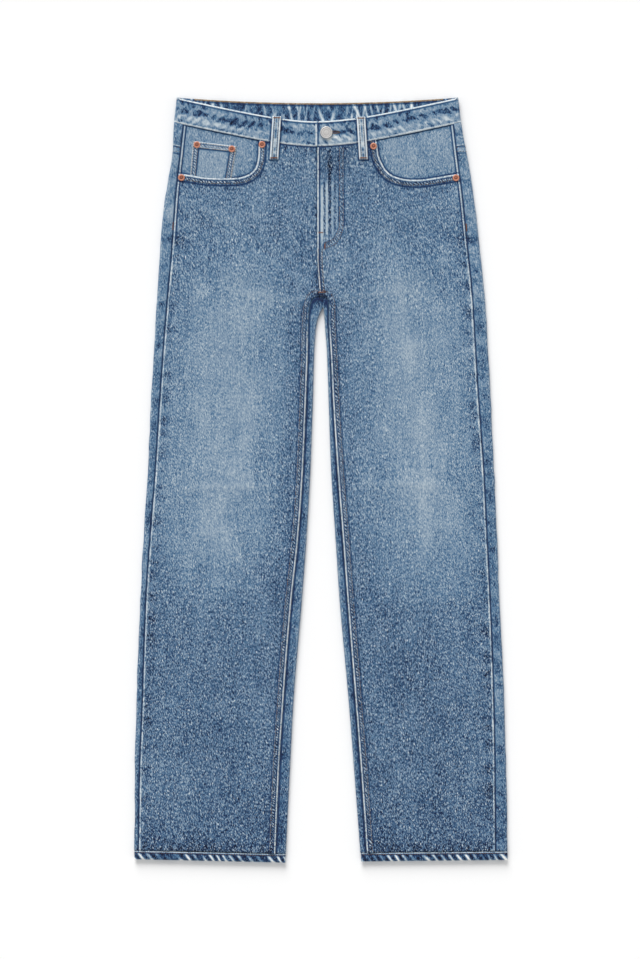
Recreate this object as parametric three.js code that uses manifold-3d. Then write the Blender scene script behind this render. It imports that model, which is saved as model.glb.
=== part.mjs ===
// Straight leg jeans laid flat and face up, in millimetres with +Z up.
// The waist is towards +Y and the wearer's right side is at -X. Every leg is a flattened tube: the back panel lies
// on the ground, turns up round both folds and ends at the seams on top, where the front panel closes the tube.
// Each panel is one wall of cloth, worked out from short tables of where the folds and seams run.
import * as THREE from "three";
import { mergeVertices } from "three/addons/utils/BufferGeometryUtils.js";
import Module from "manifold-3d";

const wasm = await Module();
wasm.setup();

const { lerp, smoothstep } = THREE.MathUtils;

// Cloth and seams
const CLOTH = 1.2; // one layer of washed denim
const BAND_WALL = 2.6; // the waistband is folded double round its turnings
const HEM_WALL = 2.9; // the hem is turned up twice, so it has three layers
const LOOP_WALL = 1.9; // a belt loop is a strip folded in three
const GAP = 0.3; // between two pieces that are sewn together
const HALF_GAP = GAP / 2;
const LAYER = CLOTH + GAP; // how far one panel lies above the next

// Heights along the body (y) at the side folds
const WAIST_SIDE = 499.4;
const YOKE_SIDE = 466.5;
const CROTCH_SIDE = 262; // where the row that ends in the crotch point starts
const CROTCH_POINT = { x: -2.1, y: 257 }; // on top, where the front's centre seam meets the inseams
const SEAT_TURN = { x: 2.8, y: 241 }; // where the centre back seam comes round the fold under the crotch
const LEG_TOP = 210; // below this every row runs straight across the leg

// Curves of the waist
const WAIST_CENTRE_X = -4.9;
const WAIST_HALF = 200.9;
const WAIST_BEND = 0.32; // how soon the dip of the front turns into its straight slope
const FRONT_SEAM = { centre: 465.8, rise: 33.6 };
const FRONT_TOP = { centre: 501.2, rise: 33.8 };
const BACK_SEAM = { centre: 490, rise: 9.4 };
const BACK_TOP = { centre: 526.8, rise: 8.2 };
const YOKE_POINT = 430; // the V of the yokes at the centre back

// Where the folds and seams of the wearer's right leg run, from the waist down
const RIGHT_LEG = [
  { y: 535, foldOut: -201.6 },
  { y: 499, foldOut: -205.6, seamOut: -191.8 },
  { y: 462, foldOut: -207.2, seamOut: -196.0 },
  { y: 392, foldOut: -218.4, seamOut: -203.7 },
  { y: 322, foldOut: -225.4, seamOut: -208.6 },
  { y: 252, foldOut: -229.6, seamOut: -214.9 },
  { y: 210, foldOut: -232.2, seamOut: -218.4, seamIn: -18.2, foldIn: -7.0 },
  { y: 182, foldOut: -233.8, seamOut: -220.5, seamIn: -18.6, foldIn: -9.1 },
  { y: 112, foldOut: -238.0, seamOut: -225.4, seamIn: -21.0, foldIn: -11.2 },
  { y: 14, foldOut: -242.2, seamOut: -231.7, seamIn: -25.2, foldIn: -14.7 },
  { y: -84, foldOut: -248.5, seamOut: -239.4, seamIn: -32.2, foldIn: -20.3 },
  { y: -168, foldOut: -252.7, seamOut: -245.0, seamIn: -41.3, foldIn: -26.6 },
  { y: -308, foldOut: -258.3, seamOut: -249.9, seamIn: -52.5, foldIn: -38.2 },
  { y: -406, foldOut: -260.4, seamOut: -253.6, seamIn: -58.8, foldIn: -43.4 },
  { y: -535, foldOut: -261.1, seamOut: -255.6, seamIn: -64.4, foldIn: -49.7 },
];
const LEFT_LEG = [
  { y: 535, foldOut: 191.8 },
  { y: 499, foldOut: 196.0, seamOut: 184.6 },
  { y: 462, foldOut: 203.0, seamOut: 189.0 },
  { y: 392, foldOut: 214.2, seamOut: 198.1 },
  { y: 322, foldOut: 222.6, seamOut: 205.1 },
  { y: 252, foldOut: 229.6, seamOut: 212.2 },
  { y: 210, foldOut: 232.0, seamOut: 214.6, seamIn: 11.4, foldIn: 5.6 },
  { y: 182, foldOut: 233.8, seamOut: 216.3, seamIn: 13.4, foldIn: 8.0 },
  { y: 112, foldOut: 237.3, seamOut: 220.5, seamIn: 16.8, foldIn: 10.5 },
  { y: 14, foldOut: 242.2, seamOut: 227.6, seamIn: 23.1, foldIn: 14.0 },
  { y: -84, foldOut: 246.4, seamOut: 232.4, seamIn: 30.8, foldIn: 20.3 },
  { y: -168, foldOut: 249.9, seamOut: 236.6, seamIn: 37.1, foldIn: 25.9 },
  { y: -308, foldOut: 256.2, seamOut: 241.8, seamIn: 48.3, foldIn: 38.5 },
  { y: -406, foldOut: 259.0, seamOut: 243.4, seamIn: 56.0, foldIn: 46.2 },
  { y: -535, foldOut: 261.1, seamOut: 244.2, seamIn: 65.1, foldIn: 56.0 },
];

// Rows that fan out round the crotch: side is the row's height at the outer fold, edge is its end on the inseam
// and turn is where it goes round the inner fold. The first row ends in the crotch point itself.
const CROTCH_ROW = {
  side: CROTCH_SIDE, edgeX: CROTCH_POINT.x, edgeY: CROTCH_POINT.y, turnX: SEAT_TURN.x, turnY: SEAT_TURN.y,
};
const RIGHT_CROTCH = [
  CROTCH_ROW,
  { side: 255, edgeX: -6.5, edgeY: 256.4, turnX: 1.9, turnY: 239.4 },
  { side: 248, edgeX: -10.3, edgeY: 255.0, turnX: 0.6, turnY: 236.8 },
  { side: 241, edgeX: -12.9, edgeY: 251.6, turnX: -1.2, turnY: 232.8 },
  { side: 234, edgeX: -14.9, edgeY: 246.0, turnX: -3.1, turnY: 228.0 },
  { side: 226, edgeX: -16.7, edgeY: 237.0, turnX: -4.9, turnY: 222.5 },
  { side: 218, edgeX: -17.8, edgeY: 225.0, turnX: -6.1, turnY: 216.5 },
];
const LEFT_CROTCH = [
  CROTCH_ROW,
  { side: 255, edgeX: 4.5, edgeY: 256.4, turnX: 3.3, turnY: 239.4 },
  { side: 248, edgeX: 8.7, edgeY: 254.6, turnX: 3.8, turnY: 236.8 },
  { side: 241, edgeX: 10.5, edgeY: 250.8, turnX: 4.2, turnY: 232.8 },
  { side: 234, edgeX: 11.2, edgeY: 245.0, turnX: 4.6, turnY: 228.0 },
  { side: 226, edgeX: 11.3, edgeY: 236.0, turnX: 5.0, turnY: 222.5 },
  { side: 218, edgeX: 11.2, edgeY: 224.0, turnX: 5.3, turnY: 216.5 },
];
const UPPER_ROWS = [WAIST_SIDE, 483, YOKE_SIDE, 448, 425, 400, 370, 340, 310, 285];
const LEG_ROWS = [LEG_TOP, 182, 148, 112, 76, 40, 0, -42, -84, -126, -168, -214, -260, -308, -356, -406, -450, -486];

// Height of the upper layer's outer face over the ground
const RISE = [
  { y: 540, top: 8.2 },
  { y: 500, top: 8.2 },
  { y: 466, top: 8.0 },
  { y: 420, top: 6.6 },
  { y: 300, top: 6.3 },
  { y: 200, top: 5.8 },
  { y: -470, top: 5.8 },
  { y: -520, top: 7.0 },
  { y: -540, top: 7.4 },
];

// The broad soft folds of the upper layer, as ridges (height above 0) and troughs between two points
const FOLDS = [
  { x1: -22, y1: 262, x2: -118, y2: 296, width: 20, height: 0.7 },
  { x1: 24, y1: 262, x2: 122, y2: 294, width: 20, height: 0.7 },
  { x1: -150, y1: 352, x2: -205, y2: 330, width: 24, height: -0.6 },
  { x1: 150, y1: 350, x2: 205, y2: 330, width: 24, height: -0.6 },
  { x1: -60, y1: 370, x2: -150, y2: 384, width: 22, height: 0.5 },
  { x1: 60, y1: 366, x2: 150, y2: 384, width: 22, height: 0.5 },
  { x1: -60, y1: 10, x2: -190, y2: 2, width: 30, height: 0.5 },
  { x1: 60, y1: 10, x2: 190, y2: 2, width: 30, height: 0.5 },
];

// Fly and centre seams
const FLY_X = -5.2; // the fly's edge, where the left front lies over the right
const FLY_BOTTOM = 325;
const FLY_STEP = 0.9;
const CENTRE_BACK_X = 0;
const BUTTON = { x: 7.4, y: 485, across: 17 };
const BAND_END = { left: -7.9, right: 33.6 }; // the left end lies over the right end
const END_LIFT = { full: 35, none: 49 }; // where the left end comes down from the right end
const LIFT = BAND_WALL + GAP;

// Back pockets press the back panel up; its columns are shares of the way from the centre back to the fold
const POCKET_ZONE = { inside: 0.1, insideTop: 0.16, outsideTop: 0.85, outside: 0.91, bottom: 224, full: 256 };
const BACK_COLUMNS = [0.91, 0.85, 0.6, 0.36, 0.16, 0.1, 0];
const BACK_POCKET = { inner: 44, outer: 180, top: 415, side: 292, point: 266, corner: 6 };
const SEAT_LIFT = 2.2; // the belt loops lie under the yoke and the waistband
const SEAT_RAMP = { from: 425, to: 464 };

// Hand pockets: the scoop from the waist seam to the outseam
const RIGHT_SCOOP = [
  [-86.2, 478], [-86.6, 470.5], [-87.4, 463.3], [-87.9, 451.6], [-90.2, 440], [-95.4, 431.4],
  [-106, 425], [-122, 422.1], [-157.8, 422.5], [-180, 425.8], [-192.2, 427.6], [-230, 433],
];
const LEFT_SCOOP = [
  [77.4, 478], [78, 471.5], [79.2, 464.2], [80.8, 453.6], [85.1, 442.8], [92.5, 431.4],
  [104.4, 423.9], [122.6, 420], [144.1, 420.4], [165.5, 423.6], [184.7, 426.9], [230, 434],
];
const COIN_POCKET = { topOuter: [-178.8, 473.9], topInner: [-117.6, 466.3], inner: [-126.4, 415], outer: [-184.2, 415] };

// Rivets and belt loops
const RIVET_ACROSS = 9.4;
const RIVETS = [
  { name: "rivet_right_front", x: -82.4, y: 468.6 },
  { name: "rivet_right_side", x: -195, y: 422.6 },
  { name: "rivet_coin_outer", x: -173.4, y: 468.4 },
  { name: "rivet_coin_inner", x: -124.6, y: 462.6 },
  { name: "rivet_left_front", x: 73.4, y: 466.4 },
  { name: "rivet_left_side", x: 188.6, y: 422.2 },
];
const LOOP_WIDTH = 12;
const FRONT_LOOPS = [
  { name: "belt_loop_front_right", topX: -61.7, topY: 508, footX: -65.7, footY: 448 },
  { name: "belt_loop_front_left", topX: 55.7, topY: 507.4, footX: 59.4, footY: 448 },
];
const BACK_LOOPS = [
  { name: "belt_loop_back_right", x: -112 },
  { name: "belt_loop_back_centre", x: CENTRE_BACK_X },
  { name: "belt_loop_back_left", x: 108 },
];

// Hems: their lower edges run a little uphill
const HEM_DEPTH = 12;
const RIGHT_HEM = { outer: -530.4, inner: -535 };
const LEFT_HEM = { outer: -531.4, inner: -533.4 };
const ROPING = { pitch: 12, depth: 0.45, lean: 5 };

// A smooth curve through one column of a table, which never overshoots its rows.
function curve(table, name) {
  const rows = table.filter((row) => row[name] !== undefined).sort((a, b) => a.y - b.y);
  const ys = rows.map((row) => row.y);
  const values = rows.map((row) => row[name]);
  const slopes = ys.slice(1).map((y, i) => (values[i + 1] - values[i]) / (y - ys[i]));
  const tangents = ys.map((y, i) => {
    const before = slopes[i - 1] ?? slopes[i];
    const after = slopes[i] ?? slopes[i - 1];
    return before * after <= 0 ? 0 : (2 * before * after) / (before + after);
  });
  return (y) => {
    if (y <= ys[0]) return values[0] + tangents[0] * (y - ys[0]);
    if (y >= ys.at(-1)) return values.at(-1) + tangents.at(-1) * (y - ys.at(-1));
    const i = ys.findIndex((next) => next > y) - 1;
    const span = ys[i + 1] - ys[i];
    const t = (y - ys[i]) / span;
    const blend = t * t * (3 - 2 * t);
    const start = span * tangents[i] * t * (1 - t) * (1 - t);
    const end = span * tangents[i + 1] * t * t * (1 - t);
    return lerp(values[i], values[i + 1], blend) + start - end;
  };
}

// How far across the waist a point is, from 0 at the centre to 1 at the side folds
const waistShare = (x) => Math.min(1, Math.abs(x - WAIST_CENTRE_X) / WAIST_HALF);

// A front edge dips at the centre and runs straight up to the sides; a back edge is a shallow bow.
function frontEdge({ centre, rise }, x) {
  const dip = Math.hypot(WAIST_BEND, waistShare(x)) - WAIST_BEND;
  return centre + (rise * dip) / (Math.hypot(WAIST_BEND, 1) - WAIST_BEND);
}
const backEdge = ({ centre, rise }, x) => centre + rise * waistShare(x) ** 2;
const yokeSeam = (x) => lerp(YOKE_POINT, YOKE_SIDE, waistShare(x));

// The folds of the upper layer
function foldHeight(x, y) {
  let height = 0;
  for (const fold of FOLDS) {
    const along = new THREE.Vector2(fold.x2 - fold.x1, fold.y2 - fold.y1);
    const from = new THREE.Vector2(x - fold.x1, y - fold.y1);
    const share = THREE.MathUtils.clamp(from.dot(along) / along.lengthSq(), 0, 1);
    const distance = from.sub(along.multiplyScalar(share)).length();
    height += fold.height * Math.exp(-((distance / fold.width) ** 2));
  }
  return height;
}
const rise = curve(RISE, "top");
const upper = (x, y) => rise(y) + foldHeight(x, y);

// The left front and the left end of the waistband climb over the pieces under them.
function flyLift(x, y) {
  const lap = FLY_STEP * (1 - smoothstep(x, 8, 20)) * smoothstep(y, FLY_BOTTOM - 30, FLY_BOTTOM + 10);
  const end = LIFT * (1 - smoothstep(x, END_LIFT.full, END_LIFT.none)) * smoothstep(y, 432, 464);
  return Math.max(lap, end);
}

// Height of the lower layer's outer face: share is 0 at the centre back and 1 at the outer fold.
function lower(share, y) {
  const { inside, insideTop, outsideTop, outside, bottom, full } = POCKET_ZONE;
  const across = smoothstep(share, inside, insideTop) * (1 - smoothstep(share, outsideTop, outside));
  const pocket = LAYER * across * smoothstep(y, bottom, full);
  return Math.max(pocket, SEAT_LIFT * smoothstep(y, SEAT_RAMP.from, SEAT_RAMP.to));
}

// A leg's curves and its rows, from the waist seam down to the hem
function makeLeg(side, table, crotch, hem) {
  const leg = { side, hem };
  for (const name of ["foldOut", "seamOut", "seamIn", "foldIn"]) leg[name] = curve(table, name);
  leg.rows = UPPER_ROWS.map((fold) => ({ fold }));
  for (const { side: fold, edgeX, edgeY, turnX, turnY } of crotch) {
    leg.rows.push({ fold, edge: new THREE.Vector2(edgeX, edgeY), turn: new THREE.Vector2(turnX, turnY) });
  }
  for (const y of [...LEG_ROWS, "hem"]) {
    const fold = y === "hem" ? hem.outer + HEM_DEPTH + HALF_GAP : y;
    const inner = y === "hem" ? hem.inner + HEM_DEPTH + HALF_GAP : y;
    leg.rows.push({
      fold,
      edge: new THREE.Vector2(leg.seamIn(inner), inner),
      turn: new THREE.Vector2(leg.foldIn(inner), inner),
    });
  }
  leg.crotchRow = UPPER_ROWS.length;
  return leg;
}

// The line of the front's centre seam, which bends to the crotch point at its foot
const CENTRE_BEND = 55; // how far up the centre seams are straight again
const centreFront = (y) => lerp(CROTCH_POINT.x, FLY_X, smoothstep(y, CROTCH_POINT.y, CROTCH_POINT.y + CENTRE_BEND));
const centreBack = (y) => lerp(SEAT_TURN.x, CENTRE_BACK_X, smoothstep(y, SEAT_TURN.y, SEAT_TURN.y + CENTRE_BEND));

// The inseam at one row, moved square to itself: towards the front panel when out is above 0.
function inseam(leg, index, out) {
  const edges = leg.rows.slice(leg.crotchRow).map((row) => row.edge);
  const at = index - leg.crotchRow;
  const next = edges[Math.min(at + 1, edges.length - 1)];
  const previous = edges[Math.max(at - 1, 0)];
  const run = next.clone().sub(previous).normalize();
  const square = new THREE.Vector2(-leg.side * run.y, leg.side * run.x).multiplyScalar(out);
  return edges[at].clone().add(square);
}

// The height of a front row at x. Rows above the crotch take more and more of the waist seam's curve.
function frontRowY(leg, index, x, share) {
  const row = leg.rows[index];
  if (row.edge) return lerp(row.fold, inseam(leg, index, HALF_GAP).y, share ** 2);
  const up = (row.fold - CROTCH_SIDE) / (WAIST_SIDE - CROTCH_SIDE);
  const foot = lerp(CROTCH_SIDE, CROTCH_POINT.y, share ** 2);
  return lerp(foot, frontEdge(FRONT_SEAM, x), up) - (index === 0 ? HALF_GAP : 0);
}

// Across a front: shares of its width first, then steps (mm) short of its inner edge, where the felled seam is
const FRONT_COLUMNS = [
  { share: 0 }, { share: 0.07 }, { share: 0.2 }, { share: 0.34 }, { share: 0.48 }, { share: 0.66 }, { share: 0.82 },
  { short: 11 }, { short: 9.6, raised: 1 }, { short: 0.9, raised: 1 }, { short: 0, raised: 0.5 },
];
const FELL = 0.8; // how far the felled inseam stands up

function frontRow(leg, index) {
  const row = leg.rows[index];
  return FRONT_COLUMNS.map((column) => {
    let x = 0;
    let y = row.fold;
    for (let turn = 0; turn < 6; turn++) {
      const outer = leg.seamOut(y) - leg.side * HALF_GAP;
      const inner = row.edge ? inseam(leg, index, HALF_GAP).x : centreFront(y) + leg.side * HALF_GAP;
      const crotchPoint = index === leg.crotchRow ? leg.side * HALF_GAP : 0;
      const width = inner + crotchPoint - outer;
      const share = column.share ?? 1 - column.short / Math.abs(width);
      x = outer + width * share;
      y = frontRowY(leg, index, x, share);
    }
    const fell = (column.raised ?? 0) * FELL * (1 - smoothstep(y, 240, 256));
    const lift = leg.side > 0 ? flyLift(x, y) : 0;
    return { x, y, z: upper(x, y) + lift + fell, wall: CLOTH + fell };
  });
}

// A half turn round a fold: from the upper layer down to the lower layer, or the other way when up is true.
// It turns at the point at, and the cloth runs off in the direction inward.
const FOLD_STEPS = 4;
function foldTurn(at, inward, top, bottom, up = false) {
  const radius = (top - bottom) / 2;
  const points = [];
  for (let i = 0; i <= FOLD_STEPS; i++) {
    const angle = ((up ? FOLD_STEPS - i : i) / FOLD_STEPS) * Math.PI;
    const back = radius * (1 - Math.sin(angle));
    const z = (top + bottom) / 2 + radius * Math.cos(angle);
    points.push({ x: at.x + inward.x * back, y: at.y + inward.y * back, z, wall: CLOTH });
  }
  return points;
}

// The outer part of a back or yoke row: the strip on top, the outer fold and the lower layer to its inner end.
function backRow(leg, index, heightAt, shiftY) {
  const row = leg.rows[index];
  const inward = new THREE.Vector2(-leg.side, 0);
  const up = Math.max(0, (row.fold - CROTCH_SIDE) / (WAIST_SIDE - CROTCH_SIDE));
  const topY = (x) => (row.edge ? row.fold : lerp(CROTCH_SIDE, frontEdge(FRONT_SEAM, x), up));
  let seamX = leg.seamOut(row.fold) + leg.side * HALF_GAP;
  for (let turn = 0; turn < 4; turn++) seamX = leg.seamOut(topY(seamX)) + leg.side * HALF_GAP;
  const seamY = topY(seamX);
  const foldX = leg.foldOut(row.fold);
  const strip = { x: seamX, y: seamY + shiftY, z: upper(seamX, seamY), wall: CLOTH };
  const turn = foldTurn({ x: foldX, y: row.fold + shiftY }, inward, upper(foldX, row.fold), lower(1, row.fold));
  const from = turn.at(-1);
  const end = innerEnd(leg, index, heightAt);
  const under = BACK_COLUMNS.map((share) => {
    const x = lerp(end.x, from.x, share);
    const y = row.edge ? lerp(row.fold, end.y, (1 - share) ** 2) : heightAt(x, 1 - share, row);
    return { x, y: y + shiftY, z: lower(share, y), wall: CLOTH };
  });
  return [strip, ...turn, ...under];
}

// Where a row's lower layer ends: at the centre back, or at the foot of the inner fold
function innerEnd(leg, index, heightAt) {
  const row = leg.rows[index];
  if (!row.edge) {
    const y = heightAt(CENTRE_BACK_X, 1, row);
    return { x: centreBack(y) + leg.side * HALF_GAP, y };
  }
  const { at, inward, radius } = innerFold(leg, index);
  return { x: at.x + inward.x * radius, y: at.y + inward.y * radius };
}

function innerFold(leg, index) {
  const row = leg.rows[index];
  const shift = index === leg.crotchRow ? leg.side * HALF_GAP : 0;
  const at = row.turn.clone().setX(row.turn.x + shift);
  const edge = inseam(leg, index, -HALF_GAP);
  edge.x += shift;
  const inward = edge.clone().sub(at).normalize();
  return { at, edge, inward, radius: upper(at.x, at.y) / 2 };
}

// The inner part of a back row below the crotch: round the inner fold and on top to the inseam
function inseamRow(leg, index) {
  const { at, edge, inward } = innerFold(leg, index);
  const turn = foldTurn(at, inward, upper(at.x, at.y), 0, true);
  return [...turn, { x: edge.x, y: edge.y, z: upper(edge.x, edge.y), wall: CLOTH }];
}

// Makes one closed wall of cloth from patches of outer points. Each patch is rows of points, and patches that
// share points are joined. The wall goes inwards from the outer points by each point's own thickness.
function clothWall(patches, flipped) {
  const points = [];
  const places = new Map();
  const numberOf = (point) => {
    const key = [point.x, point.y, point.z].map((value) => value.toFixed(3)).join();
    if (!places.has(key)) {
      places.set(key, points.length);
      points.push({ at: new THREE.Vector3(point.x, point.y, point.z), wall: point.wall, normal: new THREE.Vector3() });
    }
    return places.get(key);
  };
  const faces = [];
  for (const rows of patches) {
    const numbers = rows.map((row) => row.map(numberOf));
    for (let r = 1; r < numbers.length; r++) {
      for (let c = 1; c < numbers[r].length; c++) {
        const [a, b] = [numbers[r - 1][c - 1], numbers[r - 1][c]];
        const [d, e] = [numbers[r][c - 1], numbers[r][c]];
        faces.push(flipped ? [a, b, e] : [a, e, b], flipped ? [a, e, d] : [a, d, e]);
      }
    }
  }
  const edges = new Map();
  for (const [a, b, c] of faces) {
    const normal = new THREE.Vector3().subVectors(points[b].at, points[a].at);
    normal.cross(new THREE.Vector3().subVectors(points[c].at, points[a].at));
    for (const number of [a, b, c]) points[number].normal.add(normal);
    for (const [from, to] of [[a, b], [b, c], [c, a]]) {
      if (!edges.delete(`${to},${from}`)) edges.set(`${from},${to}`, [from, to]);
    }
  }
  const inner = points.map(({ at, wall, normal }) => at.clone().addScaledVector(normal.normalize(), -wall));
  const count = points.length;
  const triangles = [...faces, ...faces.map(([a, b, c]) => [c + count, b + count, a + count])];
  for (const [from, to] of edges.values()) {
    triangles.push([to, from, from + count], [to, from + count, to + count]);
  }
  return indexed([...points.map((point) => point.at), ...inner], triangles);
}

function indexed(vertices, triangles) {
  const geometry = new THREE.BufferGeometry();
  geometry.setAttribute("position", new THREE.Float32BufferAttribute(vertices.flatMap((v) => v.toArray()), 3));
  geometry.setIndex(triangles.flat());
  return geometry;
}

// To and from the solids that are cut
function solidOf(geometry) {
  const bare = geometry.clone();
  bare.deleteAttribute("normal");
  bare.deleteAttribute("uv");
  const merged = mergeVertices(bare, 1e-4);
  const vertProperties = new Float32Array(merged.attributes.position.array);
  const triVerts = new Uint32Array(merged.index.array);
  return new wasm.Manifold(new wasm.Mesh({ numProp: 3, vertProperties, triVerts }));
}

function geometryOf(solid) {
  const { vertProperties, triVerts } = solid.getMesh();
  const geometry = new THREE.BufferGeometry();
  geometry.setAttribute("position", new THREE.BufferAttribute(vertProperties, 3));
  geometry.setIndex(new THREE.BufferAttribute(triVerts, 1));
  return geometry;
}

// A straight prism that is taller than the garment, for cutting in plan
function cutter(outline) {
  const shape = new THREE.Shape(outline.map(([x, y]) => new THREE.Vector2(x, y)));
  return new THREE.ExtrudeGeometry(shape, { depth: 40, bevelEnabled: false }).translate(0, 0, -10);
}

// Everything outside the scoop's line: the corner that is cut off the front panel
function scoopCutter(leg, line, step = 0) {
  const beyond = 260 * leg.side;
  const outline = [...line, [beyond, line.at(-1)[1]], [beyond, 540], [line[0][0], 540]];
  return cutter(outline.map(([x, y]) => [x + leg.side * step, y + step]));
}

function frontPanel(leg, scoop) {
  const rows = leg.rows.map((row, index) => frontRow(leg, index));
  const whole = clothWall([rows], leg.side > 0);
  return geometryOf(solidOf(whole).subtract(solidOf(scoopCutter(leg, scoop))));
}

// The denim behind the scoop: the front's own points in that corner, one layer lower
const FACING_ROWS = 6;
const FACING_COLUMNS = 6;
function pocketFacing(leg) {
  const rows = leg.rows.slice(0, FACING_ROWS).map((row, index) =>
    frontRow(leg, index).slice(0, FACING_COLUMNS).map((point) => ({ ...point, z: point.z - LAYER })),
  );
  return clothWall([rows], leg.side > 0);
}

function yoke(leg) {
  const last = UPPER_ROWS.indexOf(YOKE_SIDE);
  const between = (x, share, row) => {
    const up = (row.fold - YOKE_SIDE) / (WAIST_SIDE - YOKE_SIDE);
    return lerp(yokeSeam(x), backEdge(BACK_SEAM, x), up);
  };
  const shifts = { 0: -HALF_GAP, [last]: HALF_GAP };
  const rows = leg.rows.slice(0, last + 1).map((row, index) => backRow(leg, index, between, shifts[index] ?? 0));
  return clothWall([rows], leg.side < 0);
}

function backPanel(leg) {
  const first = UPPER_ROWS.indexOf(YOKE_SIDE);
  const foot = innerEnd(leg, leg.crotchRow).y;
  const between = (x, share, row) => {
    const up = (row.fold - CROTCH_SIDE) / (YOKE_SIDE - CROTCH_SIDE);
    return lerp(lerp(CROTCH_SIDE, foot, share ** 2), yokeSeam(x), up);
  };
  const seat = [];
  const inside = [];
  for (let index = first; index < leg.rows.length; index++) {
    seat.push(backRow(leg, index, between, index === first ? -HALF_GAP : 0));
    if (index >= leg.crotchRow) inside.push(inseamRow(leg, index));
  }
  return clothWall([seat, inside], leg.side < 0);
}

// A hem is a closed ring. Its upper face and edges are roped: the turned cloth has slipped along the stitches.
const HEM_ROWS = [0, 0.3, 0.72, 1];
const HEM_TOP_COLUMNS = 32;
const HEM_UNDER_COLUMNS = 7;
function hemRing(leg) {
  const rows = HEM_ROWS.map((down) => {
    const height = (hemY) => hemY + (HEM_DEPTH - HALF_GAP) * (1 - down);
    const outer = { x: leg.foldOut(leg.hem.outer), y: height(leg.hem.outer) };
    const inner = { x: leg.foldIn(leg.hem.inner), y: height(leg.hem.inner) };
    const inward = new THREE.Vector2(-leg.side, 0);
    const outerTurn = foldTurn(outer, inward, upper(outer.x, outer.y), 0, true);
    const innerTurn = foldTurn(inner, inward.clone().negate(), upper(inner.x, inner.y), 0);
    const across = (from, to, count, onTop) =>
      Array.from({ length: count - 1 }, (unused, i) => {
        const share = (i + 1) / count;
        const x = lerp(from.x, to.x, share);
        const y = lerp(from.y, to.y, share);
        const wave = Math.sin(((x + down * ROPING.lean) / ROPING.pitch) * 2 * Math.PI);
        const rope = onTop ? ROPING.depth * wave * Math.sin(Math.PI * Math.min(1, down + 0.2)) : 0;
        return { x, y, z: onTop ? upper(x, y) + rope : 0 };
      });
    const ring = [
      ...outerTurn,
      ...across(outerTurn.at(-1), innerTurn[0], HEM_TOP_COLUMNS, true),
      ...innerTurn,
      ...across(innerTurn.at(-1), outerTurn[0], HEM_UNDER_COLUMNS, false),
      outerTurn[0],
    ];
    return ring.map((point) => ({ ...point, wall: HEM_WALL }));
  });
  return clothWall([rows], leg.side > 0);
}

// The waistband: an open ring from its right end, under the left end, round the back to the left end on top
const BAND_ROWS = [0, 0.3, 0.7, 1];
const FRONT_STEP = 22;
const BACK_STEP = 34;
function waistband(right, left) {
  const rows = BAND_ROWS.map((up) => {
    const roundTop = up === 1 ? 2 : 0;
    const frontPoint = (x, lift) => {
      const low = frontEdge(FRONT_SEAM, x) + HALF_GAP;
      const y = lerp(low, frontEdge(FRONT_TOP, x), up);
      return { x, y, z: rise(y) + (lift ? flyLift(x, 500) : 0) };
    };
    const backPoint = (x) => {
      const low = backEdge(BACK_SEAM, x) + HALF_GAP;
      return { x, y: lerp(low, backEdge(BACK_TOP, x), up), z: SEAT_LIFT };
    };
    const side = (leg, upwards) => {
      const y = lerp(WAIST_SIDE + HALF_GAP, FRONT_TOP.centre + FRONT_TOP.rise, up);
      const at = { x: leg.foldOut(y), y };
      return foldTurn(at, new THREE.Vector2(-leg.side, 0), rise(y), SEAT_LIFT, upwards);
    };
    const rightSide = side(right, false);
    const leftSide = side(left, true);
    const front = (from, to, lift) => stations(from, to, FRONT_STEP).map((x) => frontPoint(x, lift));
    const ring = [
      ...front(BAND_END.right, rightSide[0].x, false).slice(0, -1),
      ...rightSide,
      ...stations(rightSide.at(-1).x, leftSide[0].x, BACK_STEP).slice(1, -1).map(backPoint),
      ...leftSide,
      ...front(leftSide.at(-1).x, END_LIFT.none, true).slice(1),
      ...stations(END_LIFT.none, END_LIFT.full, 5).slice(1).map((x) => frontPoint(x, true)),
      ...front(END_LIFT.full, BAND_END.left + roundTop, true).slice(1),
    ];
    return ring.map((point) => ({ ...point, wall: BAND_WALL }));
  });
  return geometryOf(solidOf(clothWall([rows], false)).subtract(solidOf(buttonhole())));
}

// Even stations from one value to another, no further apart than step
function stations(from, to, step) {
  const count = Math.ceil(Math.abs(to - from) / step);
  return Array.from({ length: count + 1 }, (unused, i) => lerp(from, to, i / count));
}

// A keyhole: a round eye for the button's shank and a slit, through the left end only
const EYE_RADIUS = 4.2;
const SLIT = { end: 27.4, half: 1.1 };
function buttonhole() {
  const start = Math.asin(SLIT.half / EYE_RADIUS);
  const shape = new THREE.Shape();
  shape.absarc(BUTTON.x, BUTTON.y, EYE_RADIUS, start, 2 * Math.PI - start);
  shape.lineTo(SLIT.end, BUTTON.y - SLIT.half);
  shape.lineTo(SLIT.end, BUTTON.y + SLIT.half);
  shape.closePath();
  const bottom = rise(BUTTON.y) + HALF_GAP;
  return new THREE.ExtrudeGeometry(shape, { depth: 10, bevelEnabled: false, curveSegments: 9 }).translate(0, 0, bottom);
}

function coinPocket(leg, scoop) {
  const { topOuter, topInner, inner, outer } = COIN_POCKET;
  const shares = [0, 0.25, 0.5, 0.75, 1];
  const rows = shares.map((down) =>
    shares.map((over) => {
      const x = lerp(lerp(topOuter[0], topInner[0], over), lerp(outer[0], inner[0], over), down);
      const y = lerp(lerp(topOuter[1], topInner[1], over), lerp(outer[1], inner[1], over), down);
      return { x, y, z: upper(x, y), wall: CLOTH };
    }),
  );
  const cloth = clothWall([rows], false);
  return geometryOf(solidOf(cloth).intersect(solidOf(scoopCutter(leg, scoop, GAP))));
}

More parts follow.
